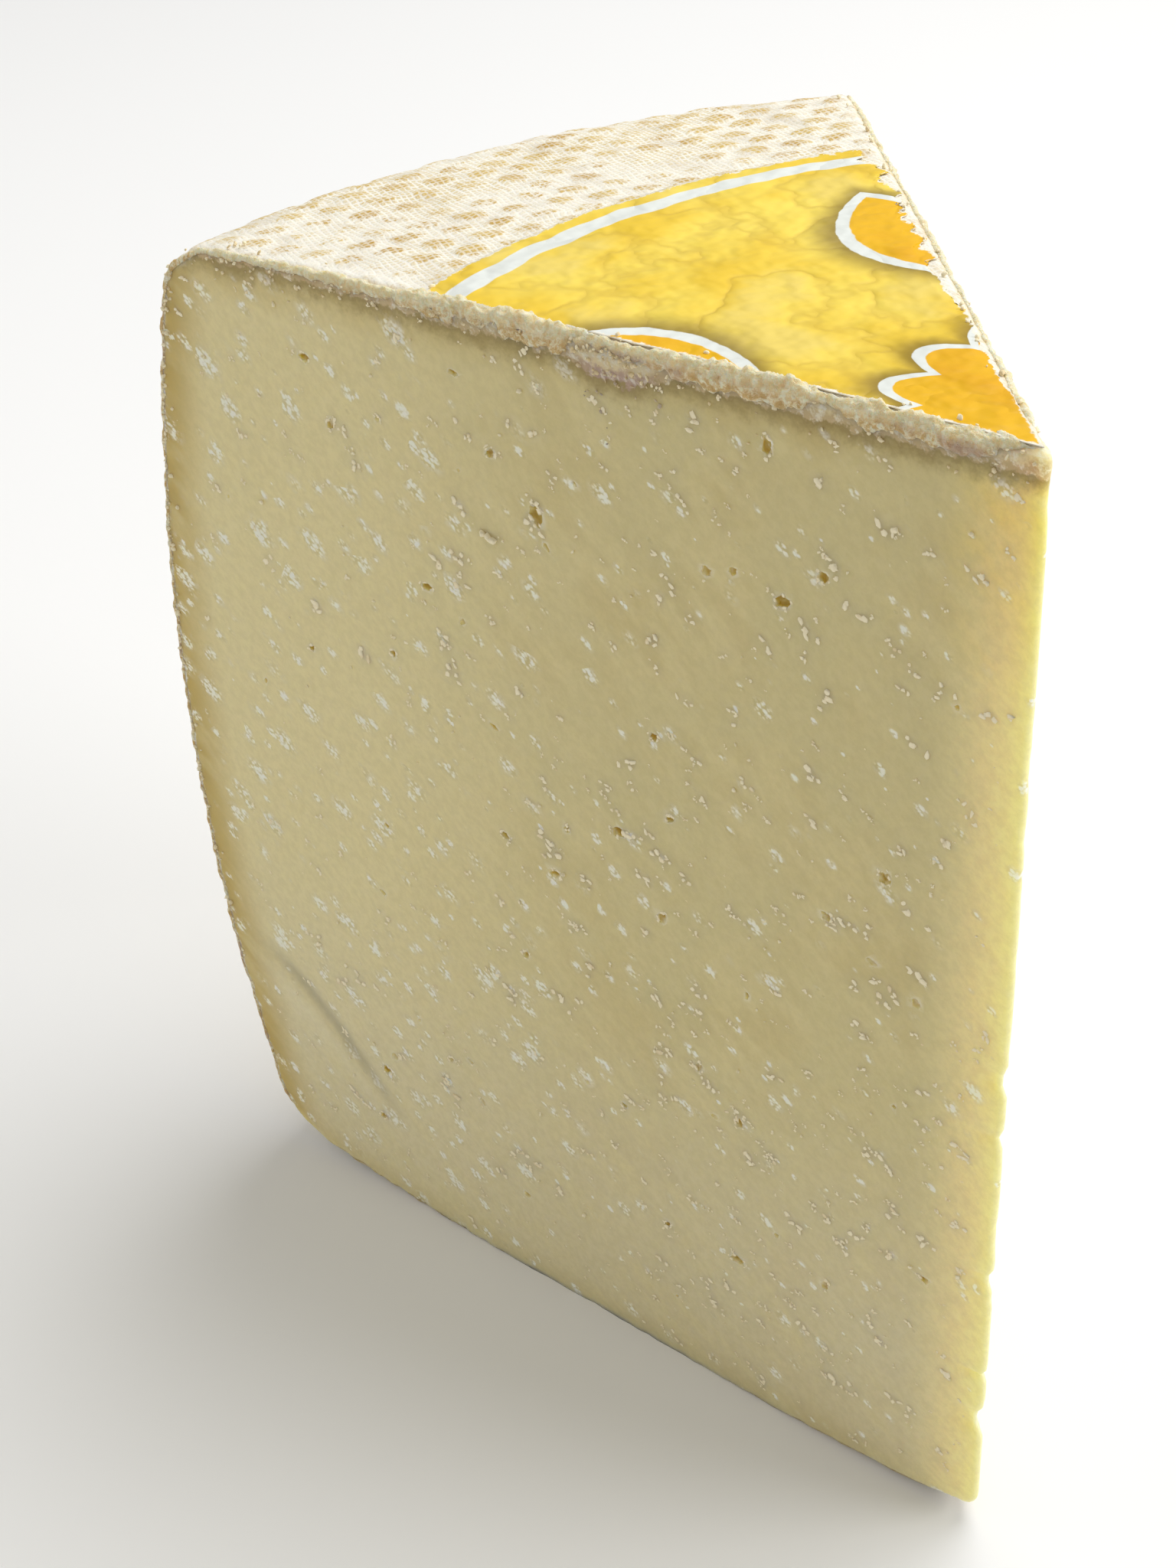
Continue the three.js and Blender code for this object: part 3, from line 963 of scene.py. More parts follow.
def half_sizes(n, size, stretch, rng):
    """Half sizes of lumps: one random size each, times a random stretch in each direction."""
    return rng.uniform(*size, (n, 1)) * rng.uniform(*stretch, (n, 3))


def lip_flakes(rng):
    """Flakes down the first few millimetres of both cuts, thickest just under the top."""
    n = LIP_FLAKES
    r = rng.uniform(3, RIM_RADIUS - 3, n)
    down = rng.gamma(2.0, 1.0, n)
    side = front_or_back(n, 0.55, rng)
    tuft = np.arange(n) < TUFT_FLAKES
    r = np.where(tuft, TUFT_PLACE + rng.normal(0, 5, n), r)
    side = np.where(tuft, -1, side)
    clump = bumps(points_of(r, 90 * side, 0), 11, 51)
    down = down * (1 + 0.7 * np.maximum(clump, 0) + tuft)
    centre = on_cut_face(r, top_height(r) - 0.4 - down, side)
    half = half_sizes(n, (0.12, 0.36), (0.5, 1.9), rng)
    return centre, half, 0.16 + 0.03 * down + 0.25 * tuft + rng.normal(0, 0.1, n)


def rim_flakes(rng):
    """Flakes along the rim edge of both cuts, more of them high up."""
    n = RIM_FLAKES
    z = WHEEL_HEIGHT - 8 - (WHEEL_HEIGHT - 30) * rng.beta(1.1, 1.9, n)
    side = front_or_back(n, 0.6, rng)
    centre = on_cut_face(side_radius(z) - 0.3 - rng.gamma(1.4, 0.55, n), z, side)
    half = half_sizes(n, (0.18, 0.5), (0.6, 1.5), rng)
    return centre, half, rng.normal(0.12, 0.12, n)


crumb_rows = [lip_flakes(rng), rim_flakes(rng)]
print("flakes:", LIP_FLAKES + RIM_FLAKES)

# %% [markdown]
# ## Crumbs on the faces
# Crumbs also stick to the cuts and lie on the strip of top beside the label. All lumps then become one piece.

# %% Crumbs
FACE_CRUMBS = 160
TOP_CRUMBS = 60
BIG_CRUMB = (116.0, 203.0)
BIG_CRUMB_SIZE = 0.85


def face_crumbs(rng):
    """Small pale crumbs stuck anywhere on the cuts, and three that make one long crumb on the front."""
    n = FACE_CRUMBS
    r = rng.uniform(6, RIM_RADIUS - 2, n)
    z = rng.uniform(BASE_DOME + 4, WHEEL_HEIGHT - 10, n)
    side = front_or_back(n, 0.55, rng)
    half = half_sizes(n, (0.16, 0.42), (0.6, 1.6), rng)
    r[:3], z[:3] = BIG_CRUMB[0] + np.array([-1.3, 0, 1.2]), BIG_CRUMB[1] + np.array([-0.5, 0, 0.5])
    side[:3], half[:3] = -1, BIG_CRUMB_SIZE
    return on_cut_face(r, z, side), half, rng.normal(0.05, 0.08, n)


def top_crumbs(rng):
    """Crumbs of rind on the strip of top between the label and the cuts."""
    n = TOP_CRUMBS
    r = rng.uniform(6, RIM_RADIUS - 12, n)
    side = front_or_back(n, 0.4, rng)
    back_off = rng.uniform(0.6, 4.2, n)
    phi = side * (HALF_ANGLE - np.minimum(back_off / r, 0.9 * HALF_ANGLE))
    centre = on_top(r, phi) + np.array([0, 0, 0.5])
    half = half_sizes(n, (0.2, 0.55), (0.6, 1.4), rng)
    return centre, half, rng.normal(0.15, 0.15, n)


crumb_rows += [face_crumbs(rng), top_crumbs(rng)]
centres, sizes, tones = (np.concatenate(rows) for rows in zip(*crumb_rows))
random_axes, _ = np.linalg.qr(rng.normal(size=(len(tones), 3, 3)))
crumbs = make_lumps("crumbs", centres, sizes, 0 * tones, random_axes, 53, np.clip(tones, 0, 1))

# %% [markdown]
# ## Short words for shader nodes
# A finish is a small circuit of nodes, and its colours are linear amounts of light. The colours here are given as
# a screen's 0 to 255 numbers, which are easier to judge, and one function makes them linear.

# %% Colours
def colour(*rgb):
    """Linear colour with alpha from 0-255 display numbers."""
    share = np.array(rgb) / 255
    linear = np.where(share <= 0.04045, share / 12.92, ((share + 0.055) / 1.055) ** 2.4)
    return (*linear.tolist(), 1.0)


print("mid grey in linear light:", round(colour(128, 128, 128)[0], 3))

# %% [markdown]
# ## Wires that count
# A wire remembers the tree that it belongs to, so that a sign between two wires can add the right node there.

# %% Wires
class Wire:
    """One output of a node. Every sign between wires adds a Math node."""

    def __init__(self, wiring, socket):
        self.wiring, self.socket = wiring, socket

    def __add__(self, other):
        return self.wiring.math("ADD", self, other)

    def __sub__(self, other):
        return self.wiring.math("SUBTRACT", self, other)

    def __rsub__(self, other):
        return self.wiring.math("SUBTRACT", other, self)

    def __mul__(self, other):
        return self.wiring.math("MULTIPLY", self, other)

    def __truediv__(self, other):
        return self.wiring.math("DIVIDE", self, other)

    def __abs__(self):
        return self.wiring.math("ABSOLUTE", self)


print("signs that make nodes: + - * / and abs")

# %% [markdown]
# ## Wiring
# Each helper adds one node and hands back its output as a wire, so that a material reads like a recipe.

# %% Wiring helpers
class Wiring:
    """Adds nodes to one tree. A value given for an input is linked if it is a wire, and set if it is not."""

    def __init__(self, tree):
        self.tree = tree

    def feed(self, socket, value):
        if isinstance(value, Wire):
            self.tree.links.new(value.socket, socket)
        elif value is not None:
            socket.default_value = value

    def fill(self, node, **inputs):
        """Feed a node's inputs by name, with _ for a blank."""
        for name, value in inputs.items():
            self.feed(node.inputs[name.replace("_", " ")], value)
        return node

    def add(self, kind, settings=None, output=0, **inputs):
        node = self.tree.nodes.new("ShaderNode" + kind)
        for name, value in (settings or {}).items():
            setattr(node, name, value)
        return Wire(self, self.fill(node, **inputs).outputs[output])

    def math(self, operation, *values):
        made = self.add("Math", {"operation": operation})
        for socket, value in zip(made.socket.node.inputs, values):
            self.feed(socket, value)
        return made

    def most(self, first, second):
        return self.math("MAXIMUM", first, second)

    def ease(self, value, low, high):
        """The same 3t^2 - 2t^3 as for arrays."""
        return self.add("MapRange", {"interpolation_type": "SMOOTHSTEP"}, Value=value, From_Min=low, From_Max=high)

    def noise(self, vector, scale, detail=2.0, roughness=0.5):
        return self.add("TexNoise", None, Vector=vector, Scale=scale, Detail=detail, Roughness=roughness)

    def attribute(self, name):
        return self.add("Attribute", {"attribute_name": name}, "Fac")

    def mix(self, share, first, second):
        made = self.add("Mix", {"data_type": "RGBA"}, 2)
        for place, value in ((0, share), (6, first), (7, second)):
            self.feed(made.socket.node.inputs[place], value)
        return made

    def paint(self, tone, *coats):
        """Lay coats of (share, colour) over a tone, one after the other."""
        for share, coat in coats:
            tone = self.mix(share, tone, coat)
        return tone

    def vector(self, x, y, z):
        return self.add("CombineXYZ", None, X=x, Y=y, Z=z)

    def bump(self, height, strength, distance):
        return self.add("Bump", None, Height=height, Strength=strength, Distance=distance)

    def outputs(self, node):
        return {output.name: Wire(self, output) for output in node.outputs}

    def use(self, tree, **inputs):
        """A node that holds a group: its outputs by name."""
        return self.outputs(self.add("Group", {"node_tree": tree}, **inputs).socket.node)


def material(name):
    """A fresh material: (material, its wiring, its Principled BSDF)."""
    made = bpy.data.materials.new(name)
    made.use_nodes = True
    return made, Wiring(made.node_tree), made.node_tree.nodes["Principled BSDF"]


def group(name, inputs, outputs):
    """A new node group with float or vector sockets: (group, its wiring, its inputs by name, its output node)."""
    tree = bpy.data.node_groups.new(name, "ShaderNodeTree")
    for direction, sockets in (("INPUT", inputs), ("OUTPUT", outputs)):
        for socket_name, kind in sockets.items():
            tree.interface.new_socket(name=socket_name, in_out=direction, socket_type="NodeSocket" + kind)
    wiring = Wiring(tree)
    return tree, wiring, wiring.outputs(tree.nodes.new("NodeGroupInput")), tree.nodes.new("NodeGroupOutput")


print("wiring ready")

# %% [markdown]
# ## Shared effect: wheel coordinates
# The cut, the rind and the label all draw patterns that belong to the wheel. This group undoes the lean and gives
# millimetres: out from the axis, across, up, and the radius. It reads the Object coordinates of the piece.

# %% Wheel coordinates group
wheel_frame, w, _, sink = group(
    "wheel_frame", {}, {"Place": "Vector", "Out": "Float", "Across": "Float", "Up": "Float", "Radius": "Float"},
)
here = w.add(
    "Mapping", {"vector_type": "TEXTURE"}, Vector=w.add("TexCoord", None, "Object"),
    Location=(AXIS_X, 0, FOOT_HEIGHT * MM), Rotation=(0, -LEAN, 0), Scale=(-MM, MM, MM),
)
out, across, up = w.outputs(w.add("SeparateXYZ", None, Vector=here).socket.node).values()
radius = w.math("SQRT", out * out + across * across)
w.fill(sink, Place=here, Out=out, Across=across, Up=up, Radius=radius)
print("group wheel_frame:", len(wheel_frame.nodes), "nodes")

# %% [markdown]
# ## Shared effect: depths
# The paste and the frayed edge both change colour with their depth: under the top, above the base, in from the
# rim and in from the cut. Both turn grey at the one mouldy tuft on the front. The group holds these formulas once.

# %% Depth group
TUFT_REACH = (12.0, 3.0)

depths, w, _, sink = group("depths", {}, dict.fromkeys(("Top", "Base", "Rim", "Cut", "Tuft"), "Float"))
wheel = w.use(wheel_frame)
dome = w.math("POWER", wheel["Radius"] / RIM_RADIUS, DOME_POWER)
from_middle = (wheel["Up"] - WHEEL_HEIGHT / 2) / (WHEEL_HEIGHT / 2)
w.fill(
    sink,
    Top=WHEEL_HEIGHT - dome * TOP_DOME - wheel["Up"],
    Base=wheel["Up"] - dome * BASE_DOME,
    Rim=BELLY_RADIUS - from_middle * from_middle * BELLY_BULGE - wheel["Radius"],
    Cut=wheel["Out"] * SIN_A - abs(wheel["Across"]) * COS_A,
    Tuft=w.ease(abs(wheel["Radius"] - TUFT_PLACE), *TUFT_REACH) * w.ease(wheel["Across"], 0.0, -5.0),
)
print("group depths:", len(depths.nodes), "nodes")

# %% [markdown]
# ## Shared effect: scattered flecks
# Torn curd, specks and crumbs of mould are all small blots. A Voronoi cell holds one blot at its centre, a random
# number of the cell sets the blot's size, and cells with low numbers stay empty.

# %% Flecks group
flecks, w, given, sink = group(
    "flecks", {"Vector": "Vector", "Scale": "Float", "Share": "Float", "Size": "Float"}, {"Mask": "Float"},
)
cells = w.outputs(w.add("TexVoronoi", None, Vector=given["Vector"], Scale=given["Scale"]).socket.node)
lot = w.add("SeparateColor", None, Color=cells["Color"])
chosen = (lot - (1.0 - given["Share"])) / given["Share"]
reach = given["Size"] * w.most(chosen, 0.0001)
w.fill(sink, Mask=w.ease(cells["Distance"] / reach, 1.0, 0.35))
print("group flecks:", len(flecks.nodes), "nodes")

# %% [markdown]
# ## The cut paste
# Pressed paste is pale straw, waxy and a little see-through, so light creeps under its surface, and a glow along
# the thin tip is painted into its colour as well. Towards the rind it dries to ochre. Whitish curd is torn along
# the wire's slanting way, the eyes get a painted amber shade inside, and along the top the rind itself shows as a
# tan and mauve band over a painted shadow under the lip.

# %% Paste colours and reaches
PASTE_CORE = colour(224, 211, 158)
PASTE_WARM = colour(222, 206, 150)
PASTE_PALE = colour(238, 225, 172)
PASTE_FILM = colour(236, 226, 196)
PASTE_SHADE_AND_STREAK = colour(188, 174, 116)
UNDER_RIND = colour(204, 178, 104)
CURD_AND_CREASE_LIGHT_WHITE = colour(255, 249, 228)
EYE_SHADE_AMBER = colour(220, 198, 106)
CREASE_SHADE_GREY = colour(168, 158, 122)
PAINTED_TIP_GLOW = colour(253, 240, 176)
PAINTED_TIP_GOLD = colour(252, 230, 140)
BAND_CREAM = colour(236, 216, 170)
BAND_MAUVE = colour(208, 184, 138)
UNDER_LIP_SHADOW = colour(160, 138, 84)
RIM_GREY = colour(188, 170, 140)
BASE_BROWN = colour(166, 142, 98)
TUFT_GREY = colour(194, 166, 146)
PALE_OUT = (80.0, 165.0)
FILM_LOW = (115.0, 35.0)
PAINTED_GLOW_REACH = (22.0, 6.0)
GOLD_HIGH = (195.0, 240.0)
DRY_RIM, DRY_BASE, DRY_TOP = (15.0, 0.5), (10.0, 0.0), (13.0, 3.0)
FLECK_STRETCH, SMEAR_STRETCH, FIBRE_STRETCH = 0.6, 0.08, 0.7
FRAY = 6.0
print("paste:", np.round(PASTE_CORE, 3), "to", np.round(PASTE_PALE, 3))

# %% [markdown]
# ## Patterns on the paste
# Most patterns are drawn along the wire's way, so they read coordinates turned by its slant and squeezed along it.
# Flecks, grains and fibres multiply into the mask of the torn curd, and the depths tell where the paste is dry.

# %% Paste patterns
paste, w, skin = material("cut_paste")
wheel, depth = w.use(wheel_frame), w.use(depths)
across, up, radius, tuft = wheel["Across"], wheel["Up"], wheel["Radius"], depth["Tuft"]

slant = radius * np.cos(WIRE_SLANT) + up * np.sin(WIRE_SLANT)
rise = up * np.cos(WIRE_SLANT) - radius * np.sin(WIRE_SLANT)
wire_place = w.vector(slant * FLECK_STRETCH, rise, across * FLECK_STRETCH)
clouds = w.noise(wheel["Place"], 0.04, 2.0, 0.55)
wires = w.noise(w.vector(slant * SMEAR_STRETCH, rise, across), 0.16, 2.0, 0.6)
fibres = w.noise(w.vector(slant * FIBRE_STRETCH, rise, across), 0.6, 3.0, 0.7)
grains = w.add("TexVoronoi", None, "Distance", Vector=wire_place, Scale=1.35)

drying = w.most(w.ease(depth["Rim"], *DRY_RIM), w.ease(depth["Base"], *DRY_BASE) * 0.4)
drying = w.most(drying, w.ease(depth["Top"], *DRY_TOP) * 0.55)
size = w.ease(radius, 60.0, 150.0) * 0.25 + 0.45
large = w.use(flecks, Vector=wire_place, Scale=0.17, Share=0.9, Size=size)["Mask"]
large = w.most(large, w.use(flecks, Vector=wire_place, Scale=0.3, Share=0.6, Size=size)["Mask"])
film = large * w.ease(fibres, 0.42, 0.62) * (w.ease(clouds, 0.34, 0.66) * 0.35 + 0.3)
torn = w.most(film, large * w.ease(large * 0.8 - grains + fibres * 1.4, 0.7, 1.15))
fray = (w.noise(wheel["Place"], 0.35, 3.0, 0.7) - 0.5) * FRAY
frayed_top = depth["Top"] + fray + (w.ease(radius, 100.0, 175.0) * 2.4 - tuft * 3.0)
crease_shade, hole = w.attribute("crease"), w.attribute("hole")
print("patterns of cut_paste:", len(paste.node_tree.nodes), "nodes")

# %% [markdown]
# ## Coats of the paste
# The colours go on like coats of paint: first the wide changes from tip to rim with a painted glow along the tip,
# then dry places, torn curd with painted shadow between its lumps, the painted shade and painted light of the
# crease, the painted shade inside the eyes, and last the rind that shows as a band along the edges of the cut,
# over a painted shadow under the lip.

# %% Paste material
tone_of = w.paint(
    PASTE_CORE,
    (w.ease(clouds, 0.35, 0.7), PASTE_WARM),
    (w.ease(radius, *PALE_OUT), PASTE_PALE),
    (w.ease(up, *FILM_LOW) * 0.45, PASTE_FILM),
    # painted glow: near the tip edge the colour is lightened and yellowed, more golden high up, on top of the real
    # scattering
    (w.ease(radius, *PAINTED_GLOW_REACH) * 0.9, w.mix(w.ease(up, *GOLD_HIGH), PAINTED_TIP_GLOW, PAINTED_TIP_GOLD)),
    (drying * w.ease(radius, 4.0, 40.0), UNDER_RIND),
    (w.ease(wires, 0.4, 0.66) * w.ease(clouds, 0.3, 0.6) * 0.45, PASTE_PALE),
    # painted shadow in the gaps between lumps of torn curd; the next coat darkens fibrous streaks of the paste
    # itself
    (large * w.ease(grains, 0.4, 0.62) * 0.35, PASTE_SHADE_AND_STREAK),
    (w.ease(fibres, 0.3, 0.7) * 0.2, PASTE_SHADE_AND_STREAK),
    (torn, CURD_AND_CREASE_LIGHT_WHITE),
    # painted shade above the crease line, then painted light below it
    (w.most(crease_shade, 0.0) * 0.6, CREASE_SHADE_GREY),
    (w.most(crease_shade * -1.0, 0.0) * 0.35, CURD_AND_CREASE_LIGHT_WHITE),
    (w.ease(hole, 0.25, 0.9) * w.ease(fibres, 0.4, 0.56) * 0.3, CURD_AND_CREASE_LIGHT_WHITE),
    # painted shade: amber darkening on the walls of the eyes and pits
    (w.ease(hole, 0.9, 1.0) * w.ease(depth["Cut"], 0.3, 1.0), EYE_SHADE_AMBER),
)
band = w.paint(
    BAND_CREAM,
    (w.ease(frayed_top, 1.2, 3.2), w.mix(tuft, BAND_MAUVE, TUFT_GREY)),
    (w.ease(fibres, 0.48, 0.68) * 0.6, CURD_AND_CREASE_LIGHT_WHITE),
)
tone_of = w.paint(
    tone_of,
    # painted shadow under the lip of rind, fading down the cut
    (w.ease(frayed_top, 9.0, 4.0) * 0.85, UNDER_LIP_SHADOW),
    (w.ease(frayed_top, 4.9, 3.9), band),
    (w.ease(depth["Rim"] + fray * 0.35, 1.6, 0.7), w.mix(w.ease(fibres, 0.4, 0.62), RIM_GREY, CURD_AND_CREASE_LIGHT_WHITE)),
    (w.ease(depth["Base"] + fray * 0.3, 1.2, 0.3), BASE_BROWN),
)
w.fill(
    skin, Base_Color=tone_of, Roughness=w.most(torn, drying) * 0.3 + 0.46, Specular_IOR_Level=0.35,
    Subsurface_Weight=1.0, Subsurface_Radius=(1.0, 0.9, 0.5), Subsurface_Scale=0.006,
)
print("cut_paste:", len(paste.node_tree.nodes), "nodes")

# %% [markdown]
# ## The rind
# Flour and white mould lie in the hollows of the cloth print. The pads between them are rubbed to ochre, each one
# more or less. Very fine threads cross the skin, and a few dark specks and grey patches sit on it.

# %% Rind material
FLOUR = colour(248, 244, 231)
FLOUR_GREY = colour(228, 221, 206)
PAD_OCHRE = colour(216, 186, 110)
PAD_BROWN = colour(194, 155, 74)
THREAD_TAN = colour(222, 202, 150)
EDGE_TAN = colour(226, 200, 148)
SPECK_DARK = colour(96, 80, 60)
THREADS_ACROSS, THREADS_ALONG = 2.3, 2.5

rind, w, skin = material("floury_rind")
wheel, depth = w.use(wheel_frame), w.use(depths)
place = wheel["Place"]
broken = w.noise(place, 0.6, 4.0, 0.8) - 0.5
rubbed = w.ease(w.attribute("pad") + broken * 2.4, 0.3, 0.75)
waver = w.noise(place, 0.15, 1.0) * 3.0
thread_a = abs(w.math("SINE", (wheel["Across"] + waver) * THREADS_ACROSS))
thread_b = abs(w.math("SINE", (wheel["Out"] - wheel["Up"] + waver) * THREADS_ALONG))
thread = w.ease(thread_a, 0.25, 0.8) * w.ease(thread_b, 0.25, 0.8)
patchy = w.ease(w.noise(place, 0.025, 3.0, 0.6), 0.4, 0.62)
near_cut = depth["Cut"] + broken
specks = w.use(flecks, Vector=place, Scale=0.12, Share=0.1, Size=0.1)["Mask"]
tone_of = w.paint(
    FLOUR,
    (w.ease(w.noise(place, 0.12, 4.0, 0.6), 0.45, 0.75), FLOUR_GREY),
    (thread * (patchy * 0.6 + 0.25), THREAD_TAN),
    (rubbed * (thread * 0.55 + 0.45), w.mix(w.ease(w.noise(place, 0.09), 0.4, 0.7), PAD_OCHRE, PAD_BROWN)),
    (w.ease(near_cut, 6.5, 3.0) * 0.6, FLOUR),
    (w.ease(near_cut, 2.0, 0.7) * 0.75, EDGE_TAN),
    (specks * 0.85, SPECK_DARK),
)
w.fill(
    skin, Base_Color=tone_of, Roughness=0.95 - rubbed * 0.2, Specular_IOR_Level=0.2,
    Normal=w.bump(thread * 0.35 + broken, 0.5, 0.0005),
    Subsurface_Weight=0.1, Subsurface_Radius=(1.0, 0.8, 0.5), Subsurface_Scale=0.002,
)
print("floury_rind:", len(rind.node_tree.nodes), "nodes")

# %% [markdown]
# ## The frayed edge
# The ridge is rind seen from its torn side: cream and floury tan, with painted shade on its lower side down the
# cut and tufts of grey mould low on the cut. Soft light passes through its fluff, so it scatters a little light
# inside.

# %% Frayed edge material
FOLD_TAN = colour(247, 220, 164)
FLUFF_CREAM = colour(255, 247, 217)
RIDGE_UNDERSIDE_SHADE = colour(216, 182, 124)

fluff, w, skin = material("frayed_edge")
place, depth = w.use(wheel_frame)["Place"], w.use(depths)
fine = w.noise(place, 0.8, 4.0, 0.7)
tufts = w.most(depth["Tuft"], w.ease(w.noise(place, 0.07, 3.0, 0.6), 0.52, 0.68))
low_on_cut = w.ease(depth["Top"] + fine * 2.0, 1.6, 3.4)
tone_of = w.paint(
    FOLD_TAN,
    (w.ease(fine, 0.3, 0.7), FLUFF_CREAM),
    # painted shade on the lower side of the ridge, down the cut
    (low_on_cut * w.ease(fine, 0.62, 0.4), RIDGE_UNDERSIDE_SHADE),
    (tufts * low_on_cut * 0.85, TUFT_GREY),
)
w.fill(
    skin, Base_Color=tone_of, Roughness=fine * 0.2 + 0.8, Specular_IOR_Level=0.2,
    Normal=w.bump(fine, 1.0, 0.0011),
    Subsurface_Weight=0.5, Subsurface_Radius=(1.0, 0.75, 0.5), Subsurface_Scale=0.002,
)
print("frayed_edge:", len(fluff.node_tree.nodes), "nodes")

# %% [markdown]
# ## The printed paper
# The label is golden paper printed to look like old parchment, with a white ring inside its edge. Its ornament is
# a plain one: a petalled rosette round the middle and a ring of pointed leaves, orange with white borders and a
# soft brown shade behind them. Each figure is a signed distance in millimetres from the label's own centre.

# %% Label figures
GOLD = colour(251, 224, 92)
GOLD_DEEP = colour(240, 203, 56)
PARCHMENT = colour(240, 214, 104)
VEIN_OLIVE = colour(204, 170, 62)
BAND_WHITE = colour(232, 236, 230)
LEAF_ORANGE = colour(240, 186, 4)
LEAF_DEEP = colour(234, 172, 0)
PRINT_SHADE = colour(112, 88, 34)
TORN_PAPER = colour(246, 240, 222)
BAND_RADIUS = 127.7
BAND_HALF = 2.4
ROSETTE_RADIUS = 37.0
PETAL_DEPTH = 6.0
PETALS = 9.0
LEAF_RING = 86.0
LEAF_HALF_LENGTH = 24.0
LEAF_HALF_WIDTH = 14.0
LEAF_PITCH = np.radians(52)
LEAF_TURN = np.radians(10.6)
BORDER = 2.5
SHADE_REACH = 7.0
INK_EDGE = 0.15
INK_WOBBLE = 0.9
BAND_EDGE = 0.2
BAND_WOBBLE = 3.2
LEAF_STEEPNESS = 0.8
WORN_REACH, FLOURED_REACH = 3.0, 9.0

printed, w, skin = material("printed_paper")
wheel = w.use(wheel_frame)
place = wheel["Place"]
from_x, from_y = wheel["Out"] - LABEL_CENTRE[0], wheel["Across"] - LABEL_CENTRE[1]
ring = w.math("SQRT", from_x * from_x + from_y * from_y)
bearing = w.math("ARCTAN2", from_y, from_x)
cloud = w.noise(place, 0.03, 4.0, 0.55)
crinkle = w.noise(place, 0.055, 3.0, 0.5)
vein = abs(crinkle - 0.5)

to_rosette = ring - (abs(w.math("COSINE", bearing * PETALS)) * PETAL_DEPTH + ROSETTE_RADIUS)
swing = (bearing - LEAF_TURN) / LEAF_PITCH
swing = swing - w.math("ROUND", swing)
length = (ring - LEAF_RING) / LEAF_HALF_LENGTH
to_leaf = (abs(swing * LEAF_PITCH * ring) - (1.0 - length * length) * LEAF_HALF_WIDTH) * LEAF_STEEPNESS
to_figure = w.math("MINIMUM", to_rosette, to_leaf) + (w.noise(place, 0.3) - 0.5) * INK_WOBBLE
to_band = abs(ring - BAND_RADIUS + (w.noise(place, 0.11, 1.0) - 0.5) * BAND_WOBBLE)
flour = w.ease(wheel["Across"], 6.0, 12.0) * w.ease(w.noise(place, 0.07), 0.45, 0.65)
worn = w.attribute("to_edge") + (w.noise(place, 0.5, 4.0, 0.7) - 0.5) * (flour * FLOURED_REACH + WORN_REACH)
print("figures of printed_paper:", len(printed.node_tree.nodes), "nodes")

# %% [markdown]
# ## Coats of the label
# The print goes on in the order of a press: gold and parchment first, then the shade, the white borders, the
# orange figures and the white ring. Wear at the edges comes last and shows the bare paper.

# %% Label material
tone_of = w.paint(
    GOLD,
    (w.ease(cloud + w.ease(wheel["Out"], 85.0, 25.0) * 0.175, 0.38, 0.62), GOLD_DEEP),
    (w.ease(crinkle, 0.5, 0.7), PARCHMENT),
    (w.ease(vein, 0.05, 0.0) * 0.35, VEIN_OLIVE),
    (w.ease(to_figure, SHADE_REACH, -1.0) * 0.75, PRINT_SHADE),
    (w.ease(to_figure, INK_EDGE, -INK_EDGE), BAND_WHITE),
    (
        w.ease(to_figure, INK_EDGE - BORDER, -INK_EDGE - BORDER),
        w.mix(w.ease(cloud, 0.4, 0.6), LEAF_ORANGE, LEAF_DEEP),
    ),
    (w.ease(to_band, BAND_HALF + BAND_EDGE, BAND_HALF - BAND_EDGE), BAND_WHITE),
    (w.ease(worn, 0.75, 0.25), TORN_PAPER),
)
w.fill(
    skin, Base_Color=tone_of, Roughness=cloud * 0.2 + 0.38, Specular_IOR_Level=0.22,
    Normal=w.bump(cloud + vein, 0.8, 0.005),
)
print("printed_paper:", len(printed.node_tree.nodes), "nodes")

# %% [markdown]
# ## The crumbs
# Crumbs are bits of curd and rind, so their colour runs with the tone that each lump carries, from curd white
# through tan to the grey of old rind, with a little grain.

# %% Crumb material
CRUMB_CREAM = colour(255, 243, 208)
CRUMB_TAN = colour(236, 216, 172)
CRUMB_GREY = colour(186, 172, 158)

crumbly, w, skin = material("crumb")
speckle = w.noise(w.use(wheel_frame)["Place"], 1.2, 2.0, 0.6)
varied = w.attribute("tone") + (speckle - 0.5) * 0.5
tone_of = w.paint(
    CRUMB_CREAM,
    (w.ease(varied, 0.1, 0.45), CRUMB_TAN),
    (w.ease(varied, 0.5, 0.9), CRUMB_GREY),
)
w.fill(
    skin, Base_Color=tone_of, Roughness=speckle * 0.3 + 0.7, Specular_IOR_Level=0.25,
    Normal=w.bump(speckle, 0.4, 0.0003),
)
print("crumb:", len(crumbly.node_tree.nodes), "nodes")
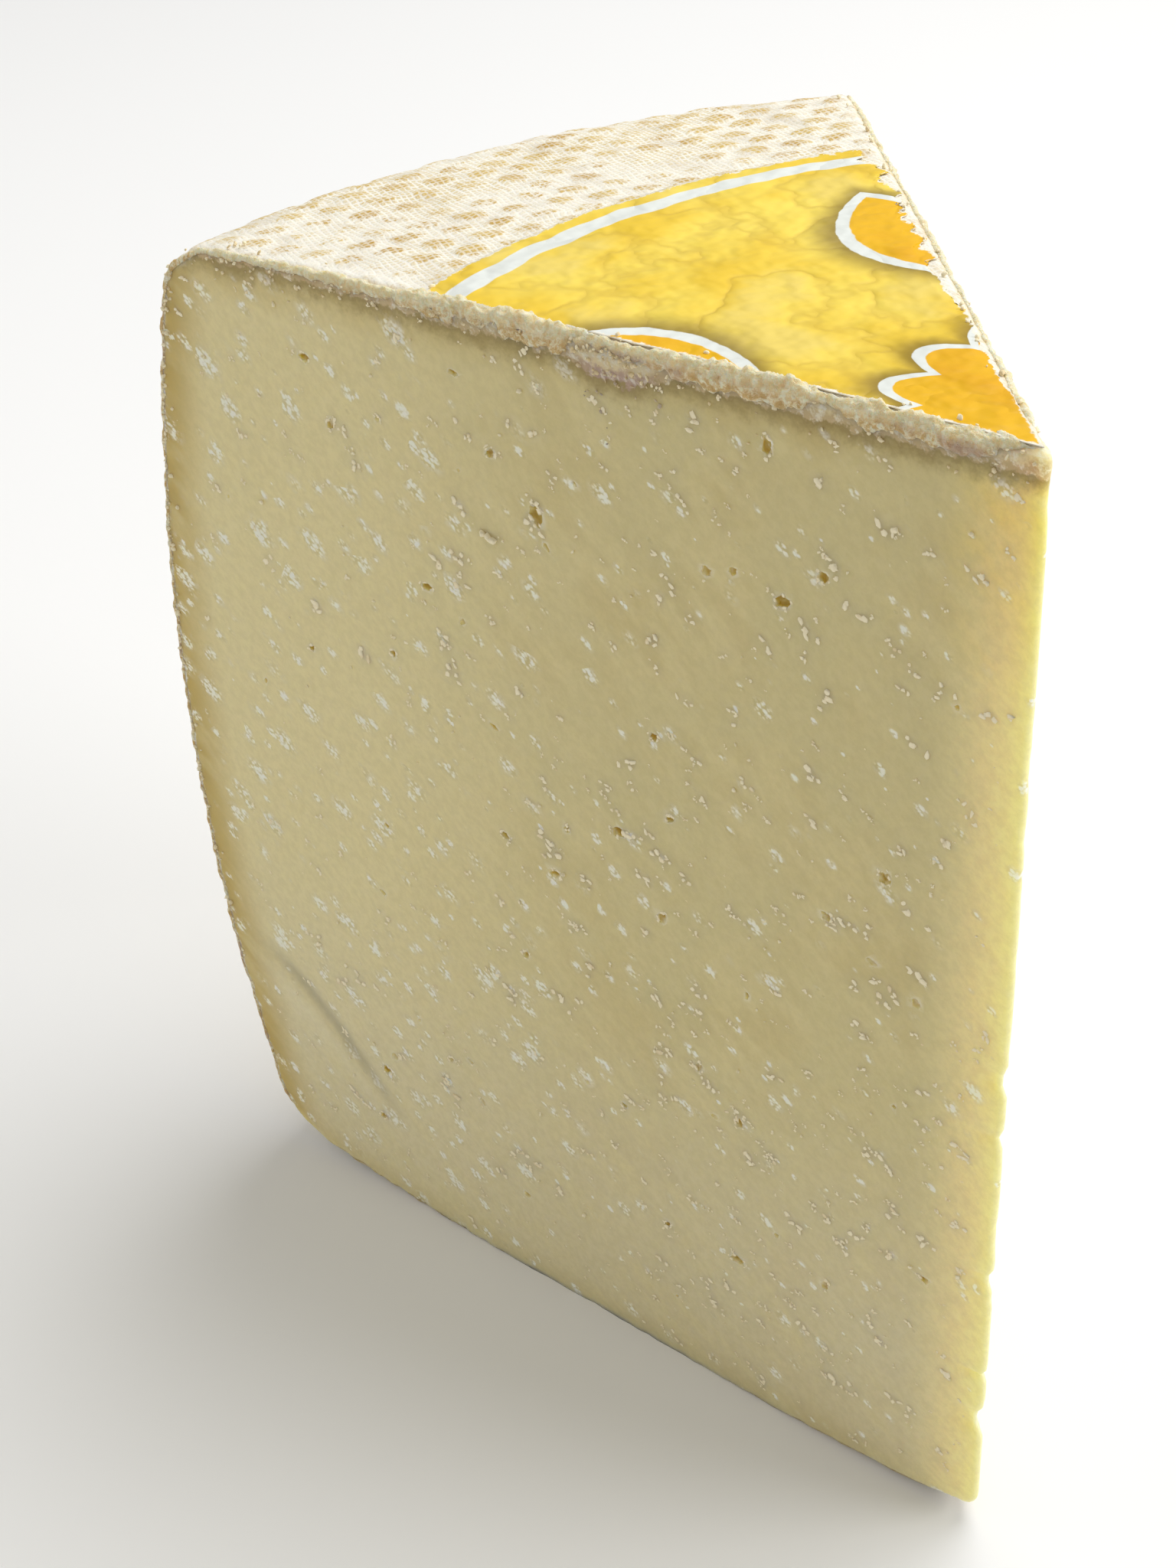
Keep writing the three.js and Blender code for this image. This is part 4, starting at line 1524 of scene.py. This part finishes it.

# %% [markdown]
# ## Dress the pieces
# Materials go on by slot: the wedge has the paste first and the rind second, as its faces were numbered. The
# CAD's own parts are hidden, and each piece is hung on the root body that it rides on.

# %% Dress and attach
cheese.data.materials.clear()
finishes = [(cheese, paste), (cheese, rind), (label, printed), (frayed, fluff), (curd, crumbly), (crumbs, crumbly)]
for piece, finish in finishes:
    piece.data.materials.append(finish)
cheese.data.polygons.foreach_set("material_index", kinds)
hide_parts("cheese")
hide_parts("label")
for piece in (cheese, label, frayed, curd, crumbs):
    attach(piece, "root")
print("dressed:", cheese.name, label.name, frayed.name, curd.name, crumbs.name)

# %% [markdown]
# ## Floor and light
# The wedge stands on a pale floor. A wide lamp overhead and behind makes the top bright and leaves the front in
# soft shade, and a second lamp behind the hidden cut shines into the tip, so that its thin edge glows.

# %% Floor and lamps
FLOOR_HALF = 4.0
FLOOR_TONE = colour(247, 247, 246)
LAMPS = [
    ("overhead", (-0.35, 0.75, 1.7), (0.0, 0.0, 0.15), 1.5, 20.5),
    ("behind_tip", (0.75, 0.95, 0.65), (0.05, 0.0, 0.13), 0.7, 7.0),
    ("front_fill", (-0.75, -0.9, 0.5), (-0.05, -0.05, 0.15), 0.9, 1.7),
]
SKY_TONE = (1.0, 0.99, 0.97, 1.0)
SKY_STRENGTH = 0.42

corners = FLOOR_HALF * np.array([[-1, -1, 0], [1, -1, 0], [1, 1, 0], [-1, 1, 0]])
floor = make_piece("floor", corners, [[0, 1, 2, 3]])
floor_finish, w, skin = material("pale_floor")
w.fill(skin, Base_Color=FLOOR_TONE, Roughness=0.9, Specular_IOR_Level=0.1)
floor.data.materials.append(floor_finish)

for name, spot, aim, size, power in LAMPS:
    lamp = bpy.data.lights.new(name, "AREA")
    lamp.shape, lamp.size, lamp.energy = "DISK", size, power
    back = np.array(spot) - np.array(aim)
    azimuth, elevation = np.arctan2(back[0], -back[1]), np.arcsin(back[2] / np.linalg.norm(back))
    point_at(put_in(name, lamp), spot, camera_axes(azimuth, elevation, 0.0))

sky = bpy.data.worlds.new("soft_sky")
sky.use_nodes = True
Wiring(sky.node_tree).fill(sky.node_tree.nodes["Background"], Color=SKY_TONE, Strength=SKY_STRENGTH)
bpy.context.scene.world = sky
bpy.context.scene.view_settings.view_transform = "Standard"
print("lamps:", [row[0] for row in LAMPS])
